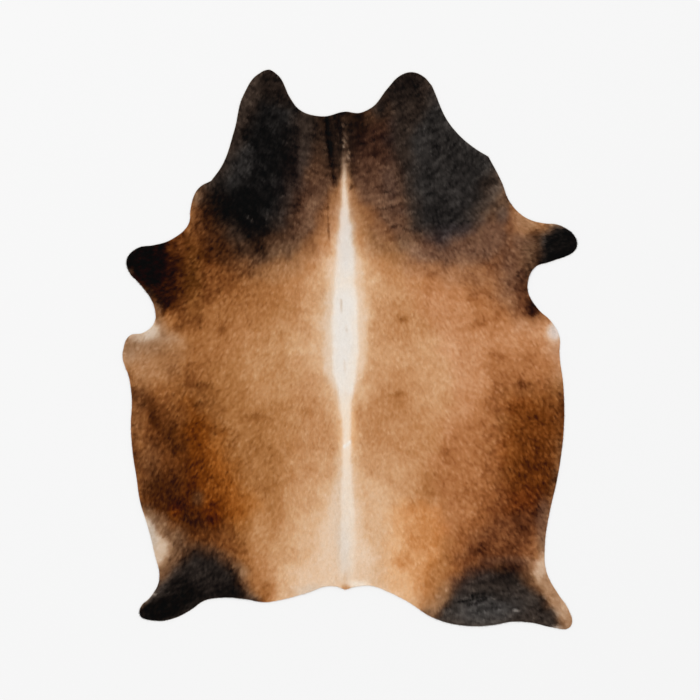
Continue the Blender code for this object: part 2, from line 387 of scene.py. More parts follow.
# Lightness of the hair from 0 to 255
LIGHT_MARKS: tuple[Mark, ...] = (
    Region("back, left, tan", 147, (
        (-320, -1027), (-19, -1027), (-19, 458), (-111, 458), (-200, 238), (-200, 118), (-300, 126),
        (-428, -10), (-408, -102), (-340, -183), (-248, -223), (-208, -283), (-240, -323), (-200, -371),
        (-240, -443), (-260, -635), (-288, -703), (-352, -731), (-368, -783), (-360, -903)), 40, 24),
    Region("back, left, pale tan", 163, (
        (-300, -1027), (-19, -1027), (-19, 446), (-79, 446), (-168, 258), (-180, 98), (-264, 14),
        (-127, -143), (-63, -303), (-63, -383), (-180, -463), (-244, -715), (-320, -803)), 40, 24),
    Region("back, left, sand", 180, (
        (-288, -1027), (-19, -1027), (-19, 454), (-55, 454), (-131, 198), (-140, 58), (-200, 14),
        (-107, -98), (-75, -183), (-43, -323), (-47, -423), (-79, -503), (-140, -543), (-136, -615),
        (-188, -651), (-228, -735), (-212, -811), (-268, -863)), 36, 20),
    Region("back, left, cream", 194, (
        (-232, -1027), (1, -1027), (1, 486), (-19, 486), (-75, 378), (-111, -2), (-91, -82), (-43, -143),
        (-19, -383), (-127, -703), (-156, -835), (-216, -883)), 28, 16),
    Region("back, right, tan", 145, (
        (281, -1067), (-19, -1003), (-19, 414), (89, 414), (137, 350), (273, 286), (301, 150), (329, 206),
        (381, 230), (449, 206), (481, 126), (561, 70), (793, 134), (889, 78), (889, -66), (553, -26),
        (553, -163), (461, -303), (353, -395), (361, -443), (305, -483), (289, -563), (309, -603),
        (353, -619), (365, -723), (313, -827)), 40, 24),
    Region("back, right, pale tan", 160, (
        (273, -1067), (-19, -1003), (-19, 422), (49, 422), (201, 210), (129, 194), (117, 26), (201, 22),
        (281, 70), (381, 66), (433, 18), (425, -62), (473, -114), (369, -187), (389, -243), (313, -251),
        (273, -211), (273, -143), (241, -66), (181, -66), (109, -187), (49, -243), (29, -303), (49, -363),
        (153, -387), (249, -451), (261, -523), (233, -603), (257, -783), (321, -811)), 36, 20),
    Region("back, right, sand", 180, (
        (261, -1059), (-19, -1003), (-19, 438), (33, 438), (93, 278), (77, 198), (93, 118), (77, -42),
        (89, -122), (81, -183), (41, -243), (33, -323), (57, -491), (177, -555), (197, -603), (173, -663),
        (229, -783), (181, -815), (177, -851), (253, -923)), 32, 20),
    Region("back, right, cream", 194, (
        (201, -1051), (-39, -1003), (-39, 498), (-15, 498), (41, 378), (65, 158), (69, 38), (1, -223),
        (5, -483), (73, -795), (109, -827), (109, -923), (189, -987)), 28, 16),
    Region("side, left", 121, (
        (-920, -1163), (-920, 458), (-600, 758), (-111, 458), (-264, 286), (-268, 182), (-360, 154),
        (-484, 54), (-488, -62), (-400, -215), (-336, -243), (-332, -323), (-284, -403), (-292, -563),
        (-320, -663), (-380, -723), (-384, -823), (-328, -1043)), 32, 20),
    Region("side, right, lower", 122, (
        (1001, -122), (1001, -1163), (281, -1163), (321, -827), (389, -723), (373, -615), (321, -603),
        (289, -563), (301, -483), (361, -443), (349, -395), (461, -303), (561, -171), (561, 10), (641, -26),
        (721, -6), (781, -26), (809, -114)), 32, 20),
    Region("flank, left, light brown", 98, (
        (-600, -46), (-588, -102), (-512, -187), (-512, -263), (-440, -363), (-464, -427), (-420, -467),
        (-396, -883), (-332, -1027), (-920, -1163), (-920, -122), (-800, -147), (-728, -126),
        (-708, -58)), 32, 20),
    Region("flank, left, brown", 78, (
        (-896, -147), (-852, -155), (-740, -211), (-688, -219), (-672, -187), (-608, -203), (-532, -323),
        (-560, -383), (-540, -463), (-480, -563), (-436, -851), (-352, -1027), (-800, -1163), (-920, -843),
        (-872, -603), (-896, -523), (-888, -427), (-840, -387), (-824, -323), (-840, -219),
        (-896, -203)), 24, 16),
    Region("flank, left, dark brown", 60, (
        (-812, -191), (-700, -275), (-600, -283), (-568, -411), (-584, -463), (-496, -603), (-496, -683),
        (-528, -767), (-472, -835), (-392, -983), (-420, -1083), (-840, -1083), (-704, -891), (-652, -739),
        (-688, -703), (-792, -651), (-820, -583), (-828, -483), (-768, -423), (-816, -263)), 24, 16),
    Region("flank, left, dark band", 52, (
        (-804, -227), (-768, -275), (-640, -355), (-648, -411), (-712, -403), (-776, -339),
        (-808, -275)), 16, 12),
    Region("flank, left, darkest", 47, (
        (-532, -683), (-584, -731), (-640, -723), (-728, -675), (-792, -623), (-812, -563), (-792, -499),
        (-712, -475), (-656, -423), (-628, -467), (-588, -591), (-536, -619)), 20, 14),
    Region("flank, left, core", 39, (
        (-760, -511), (-680, -503), (-636, -547), (-592, -683), (-628, -707), (-744, -615),
        (-784, -555)), 20, 12),
    Region("flank, right, light brown", 98, (
        (1001, -203), (1001, -1163), (305, -1163), (309, -1059), (365, -1003), (405, -783), (457, -723),
        (509, -623), (533, -523), (521, -423), (553, -363), (561, -283), (549, -211), (589, -126),
        (681, -98)), 28, 20),
    Region("flank, right, brown", 76, (
        (865, -191), (829, -483), (797, -603), (761, -691), (709, -747), (689, -823), (717, -903),
        (781, -971), (841, -1163), (341, -1163), (353, -1047), (401, -971), (421, -891), (461, -827),
        (461, -783), (561, -683), (593, -483), (621, -423), (613, -363), (633, -283), (625, -207),
        (681, -219)), 24, 16),
    Region("flank, right, dark brown", 65, (
        (865, -211), (809, -331), (813, -443), (789, -563), (745, -675), (689, -755), (673, -843),
        (705, -915), (801, -1059), (809, -1163), (381, -1163), (381, -1051), (429, -943), (481, -859),
        (533, -843), (497, -799), (589, -767), (637, -783), (621, -603), (633, -483), (689, -251)), 24, 16),
    Region("flank, right, darkest", 55, (
        (793, -391), (805, -483), (789, -603), (745, -663), (693, -623), (681, -531), (649, -475),
        (661, -439), (705, -443), (741, -399)), 20, 16),
    Patch("flank, right, low", 52, 681, -699, 28, 24, turn=30),
    Patch("side, right, brown spot", 108, 481, -551, 32, 40),
    Patch("flank, right, low spot", 72, 745, -327, 40, 24, turn=-10),
    Patch("haunch, right, dark top", 50, 521, -799, 40, 20),
    Patch("haunch, right, light", 84, 497, -839, 40, 16),
    Region("shoulders", 112, (
        (1001, 110), (1001, 1158), (-920, 1158), (-920, 198), (-780, 142), (-728, 98), (-620, 62),
        (-504, 94), (-384, 230), (-252, 342), (-140, 402), (-67, 538), (-19, 710), (69, 438), (121, 386),
        (181, 358), (233, 358), (289, 318), (301, 262), (401, 310), (469, 250), (469, 206), (581, 166),
        (585, 126), (741, 134)), 32, 20),
    Region("shoulders, brown", 81, (
        (1001, 78), (1001, 1158), (-920, 1158), (-920, 238), (-808, 206), (-760, 138), (-700, 126),
        (-672, 86), (-608, 166), (-152, 434), (-19, 742), (9, 678), (41, 654), (89, 526), (129, 514),
        (149, 454), (181, 426), (273, 418), (353, 346), (457, 374), (613, 298), (613, 254), (653, 226),
        (705, 130)), 28, 16),
    Region("neck, brown", 61, (
        (1001, 1158), (-920, 1158), (-920, 198), (-800, 186), (-740, 150), (-688, 158), (-612, 258),
        (-592, 326), (-540, 350), (-512, 326), (-460, 326), (-428, 362), (-376, 358), (-328, 378),
        (-308, 418), (-200, 458), (-192, 550), (-168, 606), (-111, 638), (-91, 674), (-63, 666), (-19, 774),
        (1, 714), (25, 690), (93, 678), (93, 650), (169, 614), (261, 450), (321, 422), (361, 414),
        (489, 466), (549, 538), (573, 514), (601, 514), (605, 550), (589, 598), (597, 670), (573, 726),
        (1001, 838)), 24, 16),
    Region("neck, dark brown", 45, (
        (-588, 378), (-568, 354), (-480, 358), (-456, 382), (-420, 394), (-380, 374), (-340, 382),
        (-300, 446), (-228, 498), (-240, 534), (-180, 598), (-188, 726), (-160, 746), (-111, 750),
        (-63, 694), (-19, 806), (1, 758), (41, 750), (113, 766), (137, 742), (173, 738), (197, 658),
        (181, 630), (233, 606), (237, 546), (261, 498), (301, 478), (333, 438), (361, 438), (461, 494),
        (513, 538), (593, 678), (557, 694), (549, 734), (557, 778), (681, 878), (401, 1239), (-400, 1239),
        (-640, 678), (-604, 582)), 20, 14),
    Region("neck, right, charcoal", 36, (
        (241, 1118), (297, 1086), (313, 1018), (381, 878), (505, 786), (537, 746), (533, 702), (573, 674),
        (561, 650), (481, 586), (433, 506), (385, 494), (349, 470), (325, 498), (285, 510), (269, 558),
        (281, 622), (249, 670), (241, 714), (205, 730), (197, 782), (153, 790), (129, 830), (9, 806),
        (9, 950), (89, 926), (105, 966), (181, 1070)), 20, 14),
    Region("neck, left, black", 25, (
        (-372, 394), (-348, 402), (-312, 506), (-288, 526), (-268, 618), (-240, 658), (-212, 642),
        (-204, 678), (-212, 818), (-188, 874), (-208, 894), (-244, 906), (-252, 938), (-236, 966),
        (-300, 1158), (-352, 1158), (-352, 1018), (-408, 966), (-412, 926), (-440, 898), (-452, 810),
        (-408, 818), (-392, 778), (-400, 718), (-488, 666), (-512, 682), (-552, 650), (-580, 610),
        (-584, 530), (-552, 510), (-460, 486)), 18, 12),
    Region("neck, left, blacker", 17, (
        (-356, 942), (-320, 914), (-312, 874), (-280, 862), (-268, 818), (-216, 754), (-220, 706),
        (-304, 690), (-316, 666), (-284, 654), (-332, 538), (-336, 462), (-368, 414), (-432, 474),
        (-460, 518), (-484, 502), (-536, 526), (-560, 558), (-560, 606), (-524, 638), (-472, 638),
        (-396, 702), (-376, 758), (-384, 814), (-428, 842), (-436, 882), (-388, 898), (-384, 930)), 18, 12),
    Region("neck, left, blackest", 10, (
        (-348, 498), (-408, 474), (-440, 502), (-452, 542), (-480, 562), (-512, 546), (-540, 562),
        (-540, 586), (-508, 614), (-476, 610), (-448, 638), (-400, 658), (-396, 618), (-360, 606)), 16, 12),
    Patch("neck, left, black pool", 13, -360, 850, 36, 32),
    Patch("neck, left, greyer spot", 38, -436, 762, 36, 36),
    Patch("flap, right, tip", 18, 233, 1062, 64, 56),
    Patch("flap, right, outer edge", 43, 317, 1030, 28, 72, turn=15),
    Patch("neck, right, ash", 43, 281, 838, 56, 104, turn=12, strength=0.7, ragged=0.3),
    Patch("neck, right, ash, lower", 44, 365, 690, 32, 48, strength=0.7, ragged=0.3),
    Patch("neck, right, dark pool", 31, 465, 710, 32, 72, turn=8),
    Patch("neck, right, dark pool, upper", 30, 409, 758, 32, 40, turn=35),
    Patch("neck, right, dark pool, lower", 32, 353, 550, 72, 40),
    Region("crest, right, dark", 22, (
        (65, 950), (73, 878), (49, 814), (9, 782), (-11, 818), (-15, 950)), 16, 8),
    Patch("crest, left, dark", 33, -115, 902, 44, 60),
    Patch("crest, middle, dark", 17, -55, 886, 36, 72),
    Patch("mane, right, dark", 46, 13, 726, 16, 36),
    Patch("mane, left, dark", 46, -47, 722, 16, 32),
    Patch("flap, left, inner edge", 26, -224, 950, 32, 28),
    Patch("neck, left, black tip", 18, -352, 414, 20, 28, strength=0.8),
    Patch("shoulder, right, dark spot", 34, 561, 674, 32, 16, turn=15),
    Patch("arm, left, brown, low", 100, -608, 182, 28, 28),
    Patch("neck, left, dark", 26, -440, 706, 28, 28),
    Line("arm, left, edge", 94, 28, ((-616, 646), (-632, 598), (-632, 526), (-652, 470)), strength=0.9),
    Patch("arm, left, rust", 84, -616, 446, 16, 32),
    Patch("arm, left, brown spot", 88, -612, 118, 32, 28, strength=0.9, ragged=0.3),
    Region("foreleg, left, fringe", 43, (
        (-960, 478), (-704, 438), (-640, 338), (-644, 262), (-696, 150), (-744, 142), (-784, 190),
        (-880, 238)), 20, 12),
    Region("foreleg, left, dark", 23, (
        (-960, 478), (-736, 438), (-728, 406), (-692, 350), (-692, 214), (-712, 166), (-744, 158),
        (-816, 246), (-880, 278)), 16, 10),
    Region("foreleg, left, black", 8, (
        (-960, 478), (-752, 446), (-732, 398), (-724, 326), (-736, 278), (-768, 246), (-808, 262),
        (-848, 294), (-900, 298)), 14, 10),
    Region("arm, right, tan edge", 122, (
        (649, 478), (681, 454), (825, 506), (841, 558), (721, 638), (657, 594), (645, 542)), 18, 10),
    Region("arm, right, brown", 62, (
        (713, 134), (749, 150), (761, 198), (841, 278), (841, 378), (729, 398), (653, 310),
        (649, 258)), 16, 10),
    Region("foreleg, right, black", 15, (
        (741, 342), (741, 390), (781, 454), (829, 482), (1001, 494), (1001, 318), (781, 318)), 14, 8),
    Region("elbow, left", 134, ((-940, 54), (-768, -10), (-752, -50), (-792, -98), (-920, -106)), 24, 12),
    Patch("elbow, left, brown", 86, -676, 106, 32, 24, turn=40),
    Patch("elbow, left, tan", 140, -704, 34, 56, 28),
    Region("arm pit, left", 162, (
        (-752, 66), (-768, 42), (-820, 30), (-896, 46), (-880, 118), (-792, 118)), 16, 8),
    Patch("arm pit, left, white", 190, -788, 74, 32, 20, turn=35),
    Region("arm pit, right", 158, (
        (761, 74), (781, 38), (821, 18), (1001, -2), (1001, 118), (841, 150), (781, 114)), 20, 8),
    Patch("arm pit, right, white", 196, 813, 70, 32, 32, turn=-40),
    Patch("arm, right, brown", 84, 601, 286, 24, 32),
    Patch("arm pit, right, brown", 112, 781, 126, 24, 20),
    Region("thigh, left, halo", 98, (
        (-800, -639), (-736, -667), (-688, -715), (-696, -783), (-752, -911), (-808, -963), (-920, -1003),
        (-920, -631)), 28, 12),
    Region("thigh, left, white", 182, (
        (-812, -667), (-720, -775), (-724, -811), (-816, -947), (-920, -1003), (-920, -659)), 20, 10),
    Region("hind leg, left, black", 32, (
        (-384, -1011), (-600, -1163), (-920, -1163), (-856, -1051), (-748, -967), (-712, -923), (-680, -875),
        (-676, -831), (-652, -799), (-628, -783), (-560, -811), (-524, -843), (-484, -851)), 14, 10),
    Patch("hind leg, left, blacker", 15, -648, -967, 56, 60),
    Region("hind leg, left, blackest", 12, (
        (-672, -987), (-664, -1035), (-712, -1075), (-800, -1103), (-880, -1083), (-860, -1035),
        (-712, -971)), 14, 8),
    Patch("hind leg, left, pool", 19, -500, -967, 52, 32),
    Region("hind leg, right, ash", 50, (
        (329, -1067), (337, -1163), (897, -1163), (717, -947), (701, -899), (673, -863), (633, -843),
        (561, -847), (473, -871), (437, -955)), 16, 10),
    Patch("hind leg, right, dark band", 39, 553, -939, 104, 36, turn=5),
    Patch("hind leg, right, black spot", 28, 625, -899, 40, 36),
    Patch("hind leg, right, dark corner", 44, 741, -1031, 56, 44, turn=30),
    Patch("hind leg, right, grey", 62, 521, -1051, 136, 40, turn=3, softness=0.6),
    Region("hind leg, right, tan strip", 132, (
        (745, -835), (785, -811), (961, -843), (1001, -1163), (897, -1163), (749, -931),
        (729, -883)), 16, 8),
    Patch("thigh, right, pale", 168, 765, -863, 20, 60, turn=-8),
    Patch("hind leg, right, tip", 156, 861, -1027, 24, 40, turn=-20),
    Patch("rump, rust spot", 148, 213, -835, 36, 28),
    Patch("loin, rust spot", 132, 197, -203, 28, 36),
    Patch("loin, rust streak", 116, 189, -175, 32, 10, turn=4),
    Patch("ribs, right, rust spot", 112, 213, 126, 28, 16),
    Patch("side, right, rust spot", 112, 381, -403, 24, 14, turn=30),
    Patch("haunch, right, brown", 104, 445, -735, 24, 56, turn=-10),
    Patch("rump, right, tan", 148, 337, -807, 28, 24),
    Patch("side, left, lower, tan", 146, -352, -731, 44, 104, strength=0.8),
    Patch("rump edge, left", 114, -344, -971, 36, 52, turn=-15),
    Patch("rump, left, tan", 158, -316, -839, 20, 44),
    Patch("haunch, left, tan edge", 114, -416, -883, 20, 36),
    Patch("back, left, lower tan", 162, -240, -607, 24, 36),
    Patch("ribs, right, tan", 150, 113, 94, 32, 28),
    Patch("loin, right, tan", 152, 53, -106, 28, 28),
    Patch("loin, right, edge", 148, 37, -263, 16, 48),
    Patch("belly fold, left", 94, -828, -299, 16, 64, turn=-12),
    Patch("flank, left, top", 82, -696, -191, 36, 20),
    Patch("flank, left, tan spot", 80, -748, -423, 24, 28),
    Patch("flank, left, rust", 82, -568, -559, 44, 48),
    Patch("flank, left, brown spot", 80, -488, -507, 20, 32),
    Region("beside the spine, neck", 146, (
        (-27, 642), (-43, 618), (-99, 398), (-19, 350), (73, 398), (33, 558)), 20, 10, 0.8),
    Stripe("spine line, pale fringe", 203, (
        (-1003, -127, 81, 0.3), (-843, -119, 73, 0.5), (-683, -95, 49, 0.6), (-583, -63, 25, 0.55),
        (-483, -43, 17, 0.5), (-383, -35, 5, 0.3), (-283, -43, -7, 0.2), (-171, -51, 9, 0.5),
        (-122, -79, 49, 0.8), (-74, -107, 65, 0.85), (38, -99, 65, 0.85), (198, -87, 53, 0.85),
        (318, -79, 45, 0.8), (438, -67, 29, 0.7), (538, -47, 5, 0.5), (638, -35, -9, 0.4),
        (698, -31, -7, 0)), softness=20, ragged=8),
    Stripe("spine line", 222, (
        (-963, -39, 17, 0), (-863, -43, 21, 0.35), (-763, -39, 25, 0.55), (-643, -35, 17, 0.7),
        (-523, -35, 11, 0.75), (-443, -31, 7, 0.8), (-363, -28, 4, 0.85), (-283, -35, 5, 0.9),
        (-203, -41, 7, 0.9), (-143, -49, 17, 1), (-90, -67, 29, 1), (-2, -71, 37, 1), (118, -71, 33, 1),
        (198, -67, 29, 1), (298, -59, 21, 0.9), (398, -51, 17, 0.8), (478, -43, 4, 0.75),
        (558, -35, -5, 0.8), (638, -34, -8, 0.78), (678, -32, -12, 0.68), (718, -31, -11, 0.55),
        (746, -30, -18, 0.45), (778, -28, -19, 0.18), (806, -27, -19, 0)), softness=9, ragged=4),
    # Painted shade: the dark lines along the neck's creases stand for shade in the folds
    Line("neck, long crease", 10, 12, ((-90, 1006), (-89, 898), (-81, 818), (-73, 754))),
    Line("neck, long crease, low", 22, 9.6, ((-74, 774), (-67, 726), (-61, 662)), strength=0.9),
    Line("neck, short crease", 15, 11.6, ((-45, 1006), (-43, 886), (-47, 790)), strength=0.9),
    Line("neck, short crease, low", 33, 10.4, ((-47, 886), (-49, 806), (-49, 750)), strength=0.8),
    Line("neck, ridge between creases", 36, 4, ((-63, 934), (-62, 838), (-55, 758)), strength=0.55),
    Line("neck, thin crease", 50, 3.2, (
        (-93, 734), (-90, 638), (-87, 550), (-84, 438)), strength=0.7, ragged=0.3),
    Line("mane, hairs 1", 80, 2, ((-29, 910), (-17, 874))),
    Line("mane, hairs 2", 95, 2, ((-27, 878), (-6, 842))),
    Line("mane, hairs 3", 115, 2, ((-27, 850), (-5, 814))),
    Line("mane, hairs 4", 135, 2.2, ((-27, 822), (-1, 790))),
    Line("mane, hairs 5", 132, 2.2, ((-24, 794), (3, 762))),
    Line("mane, hairs 6", 130, 2, ((-15, 754), (1, 726))),
    Line("mane, nick", 34, 2.4, ((-3, 644), (19, 670))),
    # Painted shade: the dark lines across the neck stand for shade in its wrinkles
    Line("neck, right, wrinkle", 34, 2.8, ((101, 566), (141, 570), (173, 576), (229, 594))),
    Line("neck, right, wrinkle, high", 30, 2.8, ((121, 632), (169, 638))),
    Line("neck, right, wrinkle, low", 34, 2.6, ((145, 490), (185, 494), (217, 506))),
    Line("neck, right, wrinkle, lowest", 28, 2.8, ((209, 486), (249, 492), (297, 506))),
    Line("neck, left, wrinkle, high", 26, 4, ((-268, 602), (-232, 610), (-196, 602)), strength=0.8),
    Line("neck, left, wrinkle", 24, 4.4, ((-260, 574), (-216, 582), (-172, 574)), strength=0.8),
    Line("neck, left, wrinkle, low", 24, 5.2, ((-256, 550), (-224, 550), (-200, 558)), strength=0.8),
    # Painted highlight: light on the crest of a neck wrinkle
    Line("neck, left, wrinkle crest, painted highlight", 82, 2.4, ((-208, 790), (-176, 786), (-127, 770)), strength=0.6),
    # Painted shade: the dark lines on the right hind leg stand for shade in its creases
    Line("hind leg, lower crease", 10, 3, (
        (465, -1021), (497, -1011), (525, -1001), (545, -989), (573, -971))),
    Line("hind leg, upper crease", 12, 2.8, ((421, -1005), (457, -1001), (489, -995), (545, -985))),
    Line("hind leg, small crease", 18, 2.4, ((481, -985), (513, -973), (541, -973))),
    Line("hind leg, short crease", 22, 2.8, ((537, -1037), (573, -1033))),
    Patch("hind leg, right, white hairs", 140, 661, -1041, 13, 5, softness=0.5),
    Line("hind leg, left, white hairs", 150, 3.2, ((-788, -975), (-772, -981))),
    Line("shoulder, right, nick", 38, 3.2, ((621, 474), (617, 446))),
    Line("spine, dark hairs, high", 186, 3.6, ((-35, 206), (-33, 154))),
    Line("spine, dark hairs", 196, 3.6, ((-15, 98), (-12, 74))),
    Line("spine, dark hairs, low", 206, 4, ((-23, -34), (-19, -82))),
    # Painted highlight: light on a crease across the spine line
    Line("spine, low, crease, painted highlight", 240, 4.8, ((-25, -387), (3, -363))),
    Line("neck, left, scratch", 62, 2.4, ((-420, 546), (-376, 506)), strength=0.8),
    Line("neck, left, long scratch", 55, 2.4, ((-328, 566), (-336, 478)), strength=0.7),
    Line("root of the tail", 186, 6.4, ((-19, -883), (-17, -931)), strength=0.9),
    Patch("root of the tail, stub", 148, -15, -951, 16, 14),
    Patch("hind leg, left, hem", 40, -384, -1003, 36, 20),
    Patch("haunch, left, light", 118, -428, -707, 28, 36),
    Patch("foreleg, left, brown edge", 100, -768, 154, 20, 24),
    # Painted highlight: a grey sheen on the edge of the black foreleg
    Patch("foreleg, left, painted sheen", 46, -884, 310, 24, 20, turn=30),
    Patch("thigh, left, brown", 66, -700, -659, 24, 20),
    Patch("neck, right, edge", 46, 577, 726, 24, 40, turn=-25),
    Patch("neck, right, edge, low", 62, 625, 606, 20, 32, turn=-20),
    Patch("neck, right, notch", 28, 557, 678, 24, 12, turn=15),
    Patch("edge, right, upper dark", 56, 845, -239, 24, 64),
    Patch("edge, right, lower dark", 58, 825, -539, 20, 80, turn=17),
    Patch("side, right, brown patch", 110, 513, -395, 32, 32),
    Patch("hind leg, right, tip, low", 136, 833, -1111, 24, 12, turn=-10),
    Patch("rump, left, lower tan", 166, -252, -715, 24, 36),
    Patch("rump, pale edge", 218, 37, -935, 40, 16),
    Patch("elbow, left, dark spot", 78, -604, 118, 20, 16),
    Patch("elbow, left, second spot", 94, -508, 78, 20, 14, turn=-20),
    Line("ribs, left, smudge", 122, 14, ((-580, -34), (-520, -14), (-428, -2)), strength=0.8, ragged=0.8),
    Patch("flank, left, top spot", 68, -608, -139, 40, 14, turn=-6),
    Patch("flank, left, second spot", 66, -608, -219, 24, 16),
    Patch("side, left, brown spot", 108, -376, -271, 40, 16, turn=-4),
    Patch("back, left, rust spot", 134, -168, -243, 24, 20),
    Patch("flank, left, low spot", 82, -544, -323, 36, 24),
    Patch("back, left, olive spot", 142, -156, -467, 24, 24),
    Patch("side, right, high spot", 108, 585, -22, 28, 14, turn=-15),
    Patch("flank, right, dark spot", 70, 689, -134, 28, 18),
    Patch("flank, right, second spot", 70, 681, -243, 36, 22, turn=20),
    Patch("shoulder, right, spot", 112, 513, 110, 36, 16, turn=20),
    Patch("belly edge, left", 58, -868, -427, 24, 88, turn=3),
    Patch("belly edge, left, high", 90, -884, -118, 24, 36),
    Patch("elbow, left, corner", 114, -896, 26, 28, 24),
    Patch("arm, right, dark spot", 32, 729, 170, 24, 28),
    Patch("foreleg, right, fringe", 48, 753, 418, 20, 56, turn=12),
    Patch("edge, right, middle dark", 68, 841, -411, 20, 88, turn=6),
    Patch("flank, right, inner spot", 80, 617, -311, 24, 32),
    Patch("foreleg, left, dark side", 22, -688, 342, 24, 44),
    Patch("hind leg, left, brown edge", 50, -768, -947, 20, 32, turn=20),
    Patch("thigh, left, upper white", 178, -796, -715, 20, 28, turn=25),
    Patch("flap, right, inner edge", 24, 141, 1010, 24, 48, turn=-34),
    Patch("haunch, right, low tan", 122, 385, -935, 16, 24),
    Patch("belly edge, left, brown", 62, -872, -175, 20, 24),
    Patch("spine, neck, dark side", 66, 17, 678, 12, 36),
    Patch("flank, right, top dark", 66, 789, -215, 24, 24),
    Patch("neck, right, upper edge", 32, 449, 842, 20, 24),
    Patch("neck, right, shoulder edge", 38, 553, 766, 20, 24),
    Patch("rump edge, right", 92, 313, -1059, 28, 16, turn=-20),
    Patch("hind leg, right, front edge", 42, 473, -899, 20, 24),
    Patch("side, right, top dark", 114, 781, -70, 24, 24),
)

